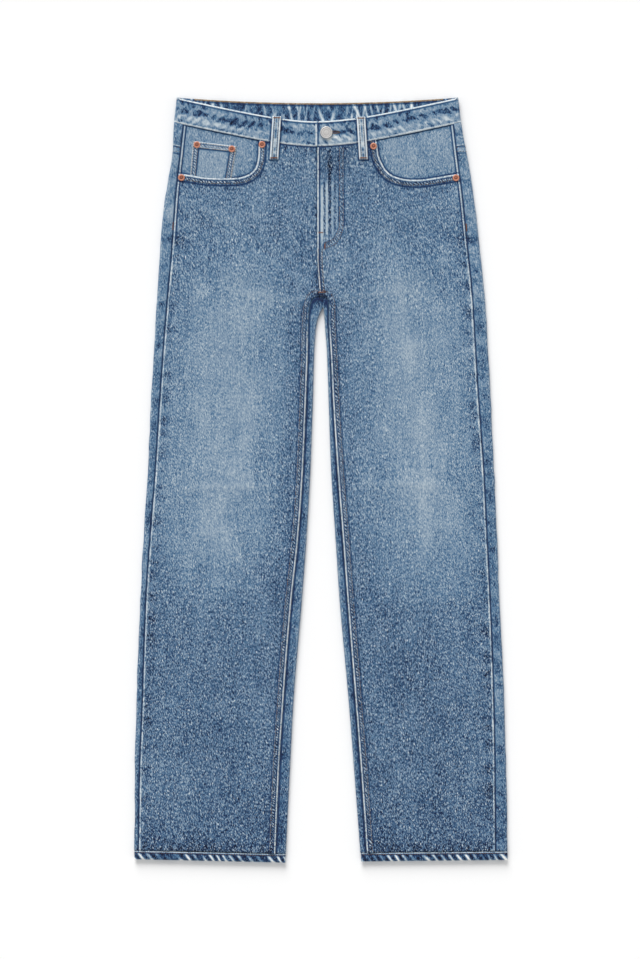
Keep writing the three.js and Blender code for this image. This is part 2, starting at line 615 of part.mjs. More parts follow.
// The underlap behind the fly's edge
const SHIELD = { left: 30, right: -26, bottom: 338 };
function flyShield() {
  const down = [0, 0.2, 0.4, 0.6, 0.8, 1];
  const columns = stations(SHIELD.right, SHIELD.left, 14);
  const rows = down.map((share) =>
    columns.map((x) => {
      const y = lerp(frontEdge(FRONT_SEAM, x) - HALF_GAP, SHIELD.bottom, share);
      return { x, y, z: upper(x, y) - LAYER - HALF_GAP, wall: CLOTH };
    }),
  );
  return clothWall([rows], false);
}

// A patch pocket lying on the ground, five-sided with soft corners
function backPocket(side) {
  const { inner, outer, top, side: low, point, corner } = BACK_POCKET;
  const middle = (inner + outer) / 2;
  const corners = [[inner + 4, top], [outer - 2, top], [outer, low], [middle, point], [inner, low]];
  const shape = new THREE.Shape();
  corners.forEach(([x, y], i) => {
    const here = new THREE.Vector2(side * x, y);
    const [beforeX, beforeY] = corners.at(i - 1);
    const [afterX, afterY] = corners[(i + 1) % corners.length];
    const before = new THREE.Vector2(side * beforeX, beforeY).sub(here).setLength(corner).add(here);
    const after = new THREE.Vector2(side * afterX, afterY).sub(here).setLength(corner).add(here);
    if (i === 0) shape.moveTo(before.x, before.y);
    else shape.lineTo(before.x, before.y);
    shape.quadraticCurveTo(here.x, here.y, after.x, after.y);
  });
  shape.closePath();
  return new THREE.ExtrudeGeometry(shape, { depth: CLOTH, bevelEnabled: false, curveSegments: 3 });
}

// A front loop lies over the waistband, tacked at both ends and a little slack between them.
const SLACK = 0.7;
function frontLoop({ topX, topY, footX, footY }) {
  const down = [0, 0.08, 0.25, 0.45, 0.65, 0.85, 0.93, 1];
  const rows = down.map((share) => {
    const x = lerp(topX, footX, share);
    const y = lerp(topY, footY, share);
    const z = upper(x, y) + GAP + HALF_GAP + LOOP_WALL + SLACK * Math.sin(Math.PI * share) ** 0.7;
    return [-1, 0, 1].map((across) => ({
      x: x + (across * LOOP_WIDTH) / 2,
      y,
      z: z - 0.25 * across ** 2,
      wall: LOOP_WALL - 0.25 * across ** 2,
    }));
  });
  return clothWall([rows], false);
}

// A back loop lies under the waistband, flat on the ground.
const LOOP_OVER = 2;
const LOOP_BELOW = 14;
function backLoop({ x }) {
  const top = backEdge(BACK_TOP, x) + LOOP_OVER;
  const foot = backEdge(BACK_SEAM, x) - LOOP_BELOW;
  const wall = SEAT_LIFT - GAP;
  const rows = [0, 0.5, 1].map((share) =>
    [-1, 1].map((across) => ({ x: x + (across * LOOP_WIDTH) / 2, y: lerp(top, foot, share), z: 0, wall })),
  );
  return clothWall([rows], true);
}

// A turned profile: pairs of radius and height
const turned = (profile, sides) =>
  new THREE.LatheGeometry(profile.map(([r, z]) => new THREE.Vector2(r, z)), sides).rotateX(Math.PI / 2);

function shankButton() {
  const r = BUTTON.across / 2;
  const neck = LIFT + 0.3; // the shank reaches down through the buttonhole to the right end
  return turned(
    [
      [0, 0], [3.6, 0], [3.6, neck], [r - 1.2, neck + 0.2], [r, neck + 1.1], [r - 0.3, neck + 1.9], [r - 1.3, neck + 2.4],
      [r - 2.1, neck + 2.1], [r - 3.6, neck + 2.2], [r - 4.4, neck + 2.5], [0, neck + 2.8],
    ],
    24,
  );
}

function rivet() {
  const r = RIVET_ACROSS / 2;
  return turned([[0, 0], [r - 0.3, 0], [r, 0.4], [r - 0.5, 0.95], [2.2, 1.2], [1.6, 0.9], [0.9, 1.25], [0, 1.4]], 14);
}

// Sets a small hard piece square on the cloth at x, y.
function seat(mesh, x, y, surface, clearance) {
  const slopeX = (surface(x + 1, y) - surface(x - 1, y)) / 2;
  const slopeY = (surface(x, y + 1) - surface(x, y - 1)) / 2;
  const normal = new THREE.Vector3(-slopeX, -slopeY, 1).normalize();
  mesh.position.set(x, y, surface(x, y)).addScaledVector(normal, clearance);
  mesh.quaternion.setFromUnitVectors(new THREE.Vector3(0, 0, 1), normal);
}

// Finishes
const finish = (color, roughness, metalness) => new THREE.MeshStandardMaterial({ color, roughness, metalness });
const washedDenim = finish(0x6f8fb5, 0.9, 0);
const paleDenim = finish(0x7d9bbe, 0.9, 0);
const bandDenim = finish(0x5f7fa6, 0.9, 0);
const copper = finish(0xb8704a, 0.45, 0.85);
const nickel = finish(0xb9bbbd, 0.35, 0.9);

const garment = new THREE.Group();
const jeans = new THREE.Group();
jeans.add(garment);

function add(name, geometry, material) {
  const mesh = new THREE.Mesh(geometry, material);
  mesh.name = name;
  garment.add(mesh);
  return mesh;
}

const right = makeLeg(-1, RIGHT_LEG, RIGHT_CROTCH, RIGHT_HEM);
const left = makeLeg(1, LEFT_LEG, LEFT_CROTCH, LEFT_HEM);

for (const [leg, word, scoop] of [[right, "right", RIGHT_SCOOP], [left, "left", LEFT_SCOOP]]) {
  add(`front_${word}`, frontPanel(leg, scoop), paleDenim);
  add(`back_${word}`, backPanel(leg), washedDenim);
  add(`yoke_${word}`, yoke(leg), washedDenim);
  add(`hem_${word}`, hemRing(leg), bandDenim);
  add(`pocket_facing_${word}`, pocketFacing(leg), washedDenim);
  add(`back_pocket_${word}`, backPocket(leg.side), washedDenim);
}
add("waistband", waistband(right, left), bandDenim);
add("coin_pocket", coinPocket(right, RIGHT_SCOOP), washedDenim);
add("fly_shield", flyShield(), washedDenim);
for (const loop of FRONT_LOOPS) add(loop.name, frontLoop(loop), bandDenim);
for (const loop of BACK_LOOPS) add(loop.name, backLoop(loop), bandDenim);
seat(add("button", shankButton(), nickel), BUTTON.x, BUTTON.y, (x, y) => rise(y), GAP);
for (const { name, x, y } of RIVETS) seat(add(name, rivet(), copper), x, y, upper, GAP);

// The origin is under the middle of the garment, on the ground.
const box = new THREE.Box3().setFromObject(jeans);
const middle = box.getCenter(new THREE.Vector3());
garment.position.set(-middle.x, -middle.y, -box.min.z);

export default jeans;
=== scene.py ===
# %% [markdown]
# # Straight leg jeans, laid flat
# The object is a pair of washed denim jeans that lies face up on a pale floor. Its solids are packed
# already, and loading them gives a fixed frame: every piece made here goes where a solid is. Denim is a
# thin, fairly stiff cloth, so each panel could be simulated, sculpted or worked out. Here the panels are
# worked out from short tables of seams and folds, because laid-out jeans are nearly flat and their small
# creases follow the seams.

# %% Load the frame
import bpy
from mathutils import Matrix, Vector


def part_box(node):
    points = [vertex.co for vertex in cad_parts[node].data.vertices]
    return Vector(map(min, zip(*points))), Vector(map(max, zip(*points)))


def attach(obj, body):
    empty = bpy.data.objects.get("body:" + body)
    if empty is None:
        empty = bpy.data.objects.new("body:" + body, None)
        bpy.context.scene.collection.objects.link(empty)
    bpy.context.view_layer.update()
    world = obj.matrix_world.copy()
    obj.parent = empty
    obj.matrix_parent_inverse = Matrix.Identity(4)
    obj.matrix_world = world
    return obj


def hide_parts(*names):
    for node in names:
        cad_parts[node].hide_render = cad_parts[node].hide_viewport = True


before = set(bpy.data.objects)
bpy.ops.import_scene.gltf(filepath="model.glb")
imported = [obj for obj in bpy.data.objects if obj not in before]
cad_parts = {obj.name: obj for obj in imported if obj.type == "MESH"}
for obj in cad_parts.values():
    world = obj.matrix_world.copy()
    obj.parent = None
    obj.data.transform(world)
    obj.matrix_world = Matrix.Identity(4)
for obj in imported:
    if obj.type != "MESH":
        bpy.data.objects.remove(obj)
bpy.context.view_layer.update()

from types import SimpleNamespace

import bpy
import numpy as np
from mathutils import Matrix, Vector
from mathutils.bvhtree import BVHTree

MM = 0.001  # the tables below are in millimetres and Blender is in metres

# %% [markdown]
# ## Camera
# The picture was taken from straight above. A long lens far away keeps the two legs free of perspective, so
# the lens is worked out from the distance and from how much of the floor the picture shows.

# %% Camera
PICTURE_HEIGHT = 959  # pixels
MM_PER_PIXEL = 1.4
CAMERA = {"x": -1.4, "y": 0.7, "height": 4000.0, "sensor": 36.0}


def add_to_scene(name, data):
    """An object for a mesh, a lamp or a camera, linked to the scene."""
    thing = bpy.data.objects.new(name, data)
    bpy.context.scene.collection.objects.link(thing)
    return thing


camera_data = bpy.data.cameras.new("camera")
camera_data.sensor_width = CAMERA["sensor"]
camera_data.lens = CAMERA["sensor"] * CAMERA["height"] / (PICTURE_HEIGHT * MM_PER_PIXEL)
camera = add_to_scene("camera", camera_data)
camera.location = Vector((CAMERA["x"], CAMERA["y"], CAMERA["height"])) * MM
bpy.context.scene.camera = camera
print("lens (mm):", round(camera_data.lens, 1))

# %% [markdown]
# ## Shader sums
# A finish is a network of nodes, and a long one is hard to read when each node and link is a line of its
# own. A small class wraps a socket, so that a sum written in Python adds its own Math nodes. A second class
# owns the nodes of one material or one geometry tree, and its one method makes any other node.

# %% Nodes written as sums
class Value:
    """What comes out of a node's socket, for use in sums."""

    def __init__(self, nodes, socket):
        self.nodes = nodes
        self.socket = socket

    def math(self, operation, first, *others, clamp=False):
        settings = {"operation": operation, "use_clamp": clamp}
        return self.nodes.node("ShaderNodeMath", settings, dict(enumerate((first, *others))))

    def __add__(self, other):
        return self.math("ADD", self, other)

    def __sub__(self, other):
        return self.math("SUBTRACT", self, other)

    def __rsub__(self, other):
        return self.math("SUBTRACT", other, self)

    def __mul__(self, other):
        return self.math("MULTIPLY", self, other)

    def __truediv__(self, other):
        return self.math("DIVIDE", self, other)

    def clamped(self):
        return self.math("ADD", self, 0.0, clamp=True)

    def sine(self):
        return self.math("SINE", self)

    def line(self, width):
        """1 where a distance is 0, and falling off softly over width."""
        share = self / width
        return self.math("EXPONENT", share * share * -1.0)

    __radd__ = __add__
    __rmul__ = __mul__


class Nodes:
    """The nodes of one tree. A node's settings come first, then the values or links of its sockets."""

    def __init__(self, tree):
        self.tree = tree
        self.tree.nodes.clear()

    def node(self, kind, settings=None, sockets=None, out=0):
        made = self.tree.nodes.new(kind)
        for name, value in (settings or {}).items():
            if name == "stops":
                self.set_stops(made.color_ramp, value)
            else:
                setattr(made, name, value)
        for name, value in (sockets or {}).items():
            if isinstance(value, Value):
                self.tree.links.new(value.socket, made.inputs[name])
            else:
                made.inputs[name].default_value = value
        return Value(self, made.outputs[out]) if len(made.outputs) else made

    @staticmethod
    def set_stops(ramp, stops):
        while len(ramp.elements) < len(stops):
            ramp.elements.new(1.0)
        for element, (position, colour) in zip(ramp.elements, stops):
            element.position = position
            element.color = colour


def new_finish(name):
    """A material, its nodes, and the place on the object that its patterns read."""
    material = bpy.data.materials.new(name)
    material.use_nodes = True
    nodes = Nodes(material.node_tree)
    return material, nodes, nodes.node("ShaderNodeTexCoord", out=3)


def surface_of(nodes, look):
    """The shader of a finish, from the values and links of its sockets."""
    surface = nodes.node("ShaderNodeBsdfPrincipled", {}, look)
    nodes.node("ShaderNodeOutputMaterial", {}, {"Surface": surface})

# %% [markdown]
# ## Denim
# Denim is woven from blue and white yarns, and stone washing rubs the blue off wherever the cloth stands
# proud. One number says how pale a point is, from raw indigo at 0 to bare white at 1, and a ramp turns it
# into a colour. It is mostly wear, with painted shade at the crotch, below the waistband and beside a few
# edges. Each panel brings that number with it as an attribute called tone. Other attributes are distances,
# in millimetres, to the nearest rubbed ridge, groove darkened by dirt and painted shade, row of puckers and
# stitched edge, because a distance stays sharp between two vertices where a painted line would blur. The
# shader only adds what is finer than the mesh.

# %% Colours of worn indigo
def linear(red, green, blue):
    """A colour as it is seen on a screen, in the linear numbers that a shader takes."""
    parts = [c / 12.92 if c <= 0.04045 else ((c + 0.055) / 1.055) ** 2.4 for c in (red, green, blue)]
    return (*parts, 1.0)


INDIGO = [
    (0.00, linear(0.05, 0.08, 0.16)),
    (0.20, linear(0.10, 0.17, 0.32)),
    (0.30, linear(0.155, 0.28, 0.44)),
    (0.43, linear(0.285, 0.43, 0.555)),
    (0.50, linear(0.35, 0.495, 0.62)),
    (0.60, linear(0.52, 0.60, 0.682)),
    (0.75, linear(0.70, 0.76, 0.80)),
    (0.90, linear(0.87, 0.89, 0.90)),
    (1.00, linear(0.95, 0.95, 0.94)),
]

# %% [markdown]
# ## The weave, its wear and its painted shade
# The speckle of denim has several sizes: long slubs in the yarn, the yarns themselves, cloudy blotches from
# the wash, and upright streaks along the warp. Noise stretched along the legs gives each of them. Beside an
# edge with two rows of stitches the marks always lie in the same order, so they are written as distances
# from that edge: the rubbed fold, a dark line of dirt and painted shade, the puckers between the rows, and
# a dark line of dirt and painted shade at the foot.

# %% Sizes of the weave, its wear and its painted shade
def table(columns, *rows):
    """Rows of values under named columns."""
    names = columns.split()
    return [dict(zip(names, row)) for row in rows]


SPECKLES = table(  # millimetres, and radians for the lean
    "name width length lean detail distortion",
    ("slub", 0.95, 4.0, 0.32, 1.0, 0.5),
    ("crossing_slub", 0.85, 3.0, -0.22, 1.0, 0.5),
    ("yarn", 0.9, 1.44, 0.0, 1.0, 0.0),
    ("blotch", 34.0, 54.4, 0.0, 2.0, 0.0),
    ("streak", 2.4, 45.0, 0.0, 1.0, 0.0),
)
SHARES = {"yarn": 0.4, "blotch": 0.10, "streak": 0.13}
CONTRAST = {"raw": 2.6, "fall": 3.4}  # raw cloth shows its slubs, and worn cloth hardly does
PUCKER = {"pitch": 4.1, "reach": 1.9, "from_edge": 5.6, "wave": 0.36, "shade": 0.04}
WAVE_SHIFT = {"by_blotch": 40.0, "by_slub": 3.0}
RUBBED = {"reach": 1.15, "from_edge": 1.3, "edge_reach": 1.3, "tone": 0.92, "base": 0.86, "by_slub": 1.2}
# grooves and the lines beside a stitched edge are darkened by dirt and by painted shade
GROOVE_DIRT_AND_SHADE = {"reach": 1.05, "tone": 0.16, "base": 0.9, "by_slub": 1.3}
PATCHY = 0.8  # how much the blotches change both
EDGE_DIRT_AND_SHADE_LINES = table("from_edge reach strength", (3.5, 0.7, 0.7), (10.4, 1.3, 0.85))
TWILL = {"pitch": 0.9, "lean": 0.55}
WAVE_PERIOD = 0.314  # a wave texture repeats every 0.314 units at a scale of 1
RELIEF = {"slub": 0.9, "yarn": 0.6, "twill": 0.12}
SEED_SHIFT = (0.37, 0.61)  # metres

# %% Denim finish
def speckle(nodes, place, seed, row):
    """One size of noise, from -0.5 to 0.5."""
    size = (row["width"] * MM, row["length"] * MM, row["width"] * MM)
    shift = (seed * SEED_SHIFT[0], seed * SEED_SHIFT[1], 0.0)
    stretch = {"Vector": place, "Location": shift, "Scale": size, "Rotation": (0.0, 0.0, row["lean"])}
    at = nodes.node("ShaderNodeMapping", {"vector_type": "TEXTURE"}, stretch)
    noise = {"Vector": at, "Scale": 1.0, "Detail": row["detail"], "Distortion": row["distortion"]}
    noise["Roughness"] = 0.6
    return nodes.node("ShaderNodeTexNoise", {"noise_dimensions": "3D"}, noise) - 0.5


def mark(nodes, attribute):
    """A number that the mesh brings with it."""
    return nodes.node("ShaderNodeAttribute", {"attribute_name": attribute}, out=2)


def seam_wear_and_shade(nodes, place, worn, slub, blotch):
    """Adds puckers, rubbed ridges, and grooves darkened by dirt and painted shade, where the mesh says that
    they are near.
    """
    edge = mark(nodes, "edge")
    slanting = {0: place, 1: (1.0, 1.0, 0.0)}
    across = nodes.node("ShaderNodeVectorMath", {"operation": "DOT_PRODUCT"}, slanting, out=1)
    turns = across * (2 * np.pi / (PUCKER["pitch"] * MM))
    wave = (turns + blotch * WAVE_SHIFT["by_blotch"] + slub * WAVE_SHIFT["by_slub"]).sine()
    pucker = mark(nodes, "pucker").line(PUCKER["reach"]) + (edge - PUCKER["from_edge"]).line(PUCKER["reach"])
    worn = worn + pucker * (wave * PUCKER["wave"] - PUCKER["shade"])
    rubbed = mark(nodes, "ridge").line(RUBBED["reach"])
    rubbed = rubbed + (edge - RUBBED["from_edge"]).line(RUBBED["edge_reach"])
    uneven = RUBBED["base"] + slub * RUBBED["by_slub"] + blotch * PATCHY
    worn = worn + rubbed.clamped() * uneven.clamped() * (RUBBED["tone"] - worn)
    dirt_and_shade = mark(nodes, "groove").line(GROOVE_DIRT_AND_SHADE["reach"])
    for row in EDGE_DIRT_AND_SHADE_LINES:
        dirt_and_shade = dirt_and_shade + (edge - row["from_edge"]).line(row["reach"]) * row["strength"]
    uneven = GROOVE_DIRT_AND_SHADE["base"] + slub * GROOVE_DIRT_AND_SHADE["by_slub"] - blotch * PATCHY
    return worn + dirt_and_shade.clamped() * uneven.clamped() * (GROOVE_DIRT_AND_SHADE["tone"] - worn)


def denim(name, seed):
    """Washed denim. seed moves its pattern, so that no two kinds of piece look alike."""
    material, nodes, place = new_finish(name)
    noise = {row["name"]: speckle(nodes, place, seed, row) for row in SPECKLES}
    slub = noise["slub"] + noise["crossing_slub"]
    tone = mark(nodes, "tone")
    contrast = (CONTRAST["raw"] - tone * CONTRAST["fall"]) * mark(nodes, "grain")
    worn = tone + slub * contrast + noise["yarn"] * contrast * SHARES["yarn"]
    worn = worn + noise["blotch"] * SHARES["blotch"] + noise["streak"] * SHARES["streak"]
    worn = seam_wear_and_shade(nodes, place, worn, slub, noise["blotch"])
    colour = nodes.node("ShaderNodeValToRGB", {"stops": INDIGO}, {"Fac": worn})
    leaning = nodes.node("ShaderNodeMapping", {}, {"Vector": place, "Rotation": (0.0, 0.0, TWILL["lean"])})
    bands = {"Vector": leaning, "Scale": WAVE_PERIOD / (TWILL["pitch"] * MM)}
    twill = nodes.node("ShaderNodeTexWave", {"bands_direction": "X"}, bands, out=1)
    height = slub * RELIEF["slub"] + noise["yarn"] * RELIEF["yarn"] + twill * RELIEF["twill"]
    bump = nodes.node("ShaderNodeBump", {}, {"Height": height, "Strength": 0.8, "Distance": 0.5 * MM})
    look = {"Base Color": colour, "Roughness": 0.92, "Normal": bump, "Specular IOR Level": 0.2}
    surface_of(nodes, {**look, "Sheen Weight": 0.12, "Sheen Roughness": 0.5})
    return material


denims = {"panel_denim": denim("panel_denim_finish", 1), "edge_denim": denim("edge_denim_finish", 5)}
print("finishes:", list(denims))

# %% [markdown]
# ## Thread and metal
# The thread is a faded tobacco brown that has gone pale where it was rubbed, so its colour wanders along a
# seam. The button is satin nickel and the rivets are dull copper. Their tarnish lies in the hollows, so it
# could come from the angle between faces, but here each ring of the profile brings its own tone.

# %% Thread and metal finishes
FINISHES = table(  # colours as seen on a screen, speckle and bump in millimetres
    "name low high speckle metallic roughness bump toned",
    ("thread_finish", (0.25, 0.21, 0.22), (0.52, 0.45, 0.40), 5.0, 0.0, 0.8, 0.1, False),
    ("pale_thread_finish", (0.62, 0.66, 0.70), (0.90, 0.90, 0.88), 4.0, 0.0, 0.8, 0.1, False),
    ("tack_thread_finish", (0.33, 0.21, 0.17), (0.62, 0.42, 0.30), 3.0, 0.0, 0.8, 0.1, False),
    ("looper_finish", (0.42, 0.34, 0.26), (0.70, 0.60, 0.47), 5.0, 0.0, 0.8, 0.1, False),
    ("nickel_finish", (0.52, 0.52, 0.53), (0.84, 0.83, 0.82), 2.5, 0.45, 0.42, 0.05, True),
    ("copper_finish", (0.38, 0.17, 0.12), (0.80, 0.54, 0.44), 1.8, 0.3, 0.45, 0.05, True),
)


def plain_finish(row):
    """A finish that wanders between two colours, or follows the mesh's own tone where toned is true."""
    material, nodes, place = new_finish(row["name"])
    noise = {"Vector": place, "Scale": 1.0 / (row["speckle"] * MM), "Detail": 2.0}
    wander = nodes.node("ShaderNodeTexNoise", {"noise_dimensions": "3D"}, noise)
    share = wander * 2.2 - 0.6
    if row["toned"]:
        share = mark(nodes, "tone") + wander * 0.5 - 0.25
    share = share.clamped()
    colours = {0: share, 6: linear(*row["low"]), 7: linear(*row["high"])}
    colour = nodes.node("ShaderNodeMix", {"data_type": "RGBA"}, colours, out=2)
    bump = nodes.node("ShaderNodeBump", {}, {"Height": wander, "Strength": 0.6, "Distance": row["bump"] * MM})
    roughness = (1.0 - share) * 0.15 + row["roughness"]
    look = {"Base Color": colour, "Roughness": roughness, "Metallic": row["metallic"], "Normal": bump}
    surface_of(nodes, look)
    return material


thread_finish, pale_thread, tack_finish, looper_finish, nickel, copper = map(plain_finish, FINISHES)

# %% [markdown]
# ## The pattern of the jeans
# A pattern maker keeps where each fold and seam runs. Short tables hold that here, one row for each height
# along the body, and a smooth curve runs through each column without overshooting it. They are the same
# numbers that the solids were worked out from, so the cloth lies where the solids are.

# %% Cloth and seam sizes
CLOTH = 1.2
BAND_WALL = 2.6
HEM_WALL = 2.9
LOOP_WALL = 1.9
GAP = 0.3
LAYER = CLOTH + GAP
FAR = 99.0  # a distance at which nothing shows any more

WAIST_SIDE = 499.4
YOKE_SIDE = 466.5
CROTCH_SIDE = 262.0
CROTCH_POINT = {"x": -2.1, "y": 257.0}
SEAT_TURN = {"x": 2.8, "y": 241.0}
LEG_TOP = 210.0
LEG_FOOT = -486.0

WAIST_CENTRE_X = -4.9
WAIST_HALF = 200.9
WAIST_BEND = 0.32
FRONT_SEAM = {"centre": 465.8, "rise": 33.6}
FRONT_TOP = {"centre": 501.2, "rise": 33.8}
BACK_SEAM = {"centre": 490.0, "rise": 9.4}
BACK_TOP = {"centre": 526.8, "rise": 8.2}
YOKE_POINT = 430.0
HEM_DEPTH = 12.0
RIGHT_HEM = {"outer": -530.4, "inner": -535.0}
LEFT_HEM = {"outer": -531.4, "inner": -533.4}
print("waist (mm):", 2 * WAIST_HALF, "rise (mm):", FRONT_SEAM["centre"] - CROTCH_POINT["y"])

# %% Tables of the folds and seams
RIGHT_LEG = table(
    "y fold_out seam_out seam_in fold_in",
    (535, -201.6),
    (499, -205.6, -191.8),
    (462, -207.2, -196.0),
    (392, -218.4, -203.7),
    (322, -225.4, -208.6),
    (252, -229.6, -214.9),
    (210, -232.2, -218.4, -18.2, -7.0),
    (182, -233.8, -220.5, -18.6, -9.1),
    (112, -238.0, -225.4, -21.0, -11.2),
    (14, -242.2, -231.7, -25.2, -14.7),
    (-84, -248.5, -239.4, -32.2, -20.3),
    (-168, -252.7, -245.0, -41.3, -26.6),
    (-308, -258.3, -249.9, -52.5, -38.2),
    (-406, -260.4, -253.6, -58.8, -43.4),
    (-535, -261.1, -255.6, -64.4, -49.7),
)
LEFT_LEG = table(
    "y fold_out seam_out seam_in fold_in",
    (535, 191.8),
    (499, 196.0, 184.6),
    (462, 203.0, 189.0),
    (392, 214.2, 198.1),
    (322, 222.6, 205.1),
    (252, 229.6, 212.2),
    (210, 232.0, 214.6, 11.4, 5.6),
    (182, 233.8, 216.3, 13.4, 8.0),
    (112, 237.3, 220.5, 16.8, 10.5),
    (14, 242.2, 227.6, 23.1, 14.0),
    (-84, 246.4, 232.4, 30.8, 20.3),
    (-168, 249.9, 236.6, 37.1, 25.9),
    (-308, 256.2, 241.8, 48.3, 38.5),
    (-406, 259.0, 243.4, 56.0, 46.2),
    (-535, 261.1, 244.2, 65.1, 56.0),
)
# Rows that fan out round the crotch: y is the row's height at the outer fold
RIGHT_CROTCH = table(
    "y edge_x edge_y turn_x turn_y",
    (CROTCH_SIDE, CROTCH_POINT["x"], CROTCH_POINT["y"], SEAT_TURN["x"], SEAT_TURN["y"]),
    (255, -6.5, 256.4, 1.9, 239.4),
    (248, -10.3, 255.0, 0.6, 236.8),
    (241, -12.9, 251.6, -1.2, 232.8),
    (234, -14.9, 246.0, -3.1, 228.0),
    (226, -16.7, 237.0, -4.9, 222.5),
    (218, -17.8, 225.0, -6.1, 216.5),
)
LEFT_CROTCH = table(
    "y edge_x edge_y turn_x turn_y",
    (CROTCH_SIDE, CROTCH_POINT["x"], CROTCH_POINT["y"], SEAT_TURN["x"], SEAT_TURN["y"]),
    (255, 4.5, 256.4, 3.3, 239.4),
    (248, 8.7, 254.6, 3.8, 236.8),
    (241, 10.5, 250.8, 4.2, 232.8),
    (234, 11.2, 245.0, 4.6, 228.0),
    (226, 11.3, 236.0, 5.0, 222.5),
    (218, 11.2, 224.0, 5.3, 216.5),
)
RISE = table(
    "y top", (540, 8.2), (500, 8.2), (466, 8.0), (420, 6.6), (300, 6.3), (200, 5.8), (-470, 5.8), (-520, 7.0),
    (-540, 7.4),
)
print("rows of the legs:", len(RIGHT_LEG), len(LEFT_LEG), "round the crotch:", len(RIGHT_CROTCH))

# %% A smooth curve through a column
def lerp(start, end, share):
    return start + (end - start) * share


def smooth(value, low, high):
    """0 below low, 1 above high, and a soft step between them."""
    share = np.clip((value - low) / (high - low), 0, 1)
    return share * share * (3 - 2 * share)


def least(*distances):
    """The least of several distances at every point."""
    return np.minimum.reduce(distances)


def all_corners(points):
    """The faces of a grid that have all their corners among some points."""
    return points[:-1, :-1] & points[1:, :-1] & points[1:, 1:] & points[:-1, 1:]


def near(distance, width):
    """1 where a distance is 0, and falling off softly over width."""
    return np.exp(-((distance / width) ** 2))


def curve(rows, column):
    """A smooth curve through one column of a table, which never overshoots its rows."""
    kept = sorted((row["y"], row[column]) for row in rows if column in row)
    ys, values = np.array(kept, float).T
    slopes = np.diff(values) / np.diff(ys)
    before = np.r_[slopes[0], slopes]
    after = np.r_[slopes, slopes[-1]]
    same = before * after > 0
    total = np.where(same, before + after, 1.0)
    tangents = np.where(same, 2 * before * after / total, 0.0)

    def at(y):
        y = np.asarray(y, float)
        i = np.clip(np.searchsorted(ys, y, side="right") - 1, 0, len(ys) - 2)
        span = ys[i + 1] - ys[i]
        t = np.clip((y - ys[i]) / span, 0, 1)
        blend = t * t * (3 - 2 * t)
        start = span * tangents[i] * t * (1 - t) ** 2
        end = span * tangents[i + 1] * t * t * (1 - t)
        past = np.minimum(y - ys[0], 0) * tangents[0] + np.maximum(y - ys[-1], 0) * tangents[-1]
        return lerp(values[i], values[i + 1], blend) + start - end + past

    return at


rise = curve(RISE, "top")
print("upper layer at the waist and the knee (mm):", float(rise(499)), float(rise(-84)))

# %% The waist's curves
def waist_share(x):
    return np.minimum(1, np.abs(x - WAIST_CENTRE_X) / WAIST_HALF)


def front_edge(line, x):
    """A front edge dips at the centre and runs straight up to the sides."""
    dip = np.hypot(WAIST_BEND, waist_share(x)) - WAIST_BEND
    return line["centre"] + line["rise"] * dip / (np.hypot(WAIST_BEND, 1) - WAIST_BEND)


def back_edge(line, x):
    return line["centre"] + line["rise"] * waist_share(x) ** 2


def yoke_seam(x):
    return lerp(YOKE_POINT, YOKE_SIDE, waist_share(x))


print("waist seam at the side (mm):", round(float(front_edge(FRONT_SEAM, WAIST_CENTRE_X + WAIST_HALF)), 1))

# %% A leg
class Leg:
    """One leg's curves. side is -1 on the wearer's right and 1 on the left."""

    def __init__(self, word, side, rows, crotch, hem):
        self.word = word
        self.side = side
        self.hem = hem
        self.fold_out = curve(rows, "fold_out")
        self.seam_out = curve(rows, "seam_out")
        self.seam_in = curve(rows, "seam_in")
        self.fold_in = curve(rows, "fold_in")
        top = {"y": LEG_TOP, "edge_x": self.seam_in(LEG_TOP), "edge_y": LEG_TOP}
        top.update(turn_x=self.fold_in(LEG_TOP), turn_y=LEG_TOP)
        fan = [*crotch, top]
        self.fan = {name: curve(fan, name) for name in ("edge_x", "edge_y", "turn_x", "turn_y")}
        self.low = hem["outer"] + HEM_DEPTH

    def inner(self, fold):
        """The height of a row's inner end, which hangs lower than its outer end at the hem."""
        low = self.hem["inner"] + HEM_DEPTH
        return np.interp(fold, [self.low, LEG_FOOT, LEG_TOP], [low, LEG_FOOT, LEG_TOP])

    def edge(self, fold):
        """Where a row ends on the inseam."""
        y = np.where(fold > LEG_TOP, self.fan["edge_y"](fold), self.inner(fold))
        return np.where(fold > LEG_TOP, self.fan["edge_x"](fold), self.seam_in(y)), y

    def turn(self, fold):
        """Where a row goes round the inner fold."""
        y = np.where(fold > LEG_TOP, self.fan["turn_y"](fold), self.inner(fold))
        return np.where(fold > LEG_TOP, self.fan["turn_x"](fold), self.fold_in(y)), y


right = Leg("right", -1, RIGHT_LEG, RIGHT_CROTCH, RIGHT_HEM)
left = Leg("left", 1, LEFT_LEG, LEFT_CROTCH, LEFT_HEM)
LEGS = (right, left)
print("a hem's width (mm):", round(float(abs(right.fold_out(-530) - right.fold_in(-530)))))
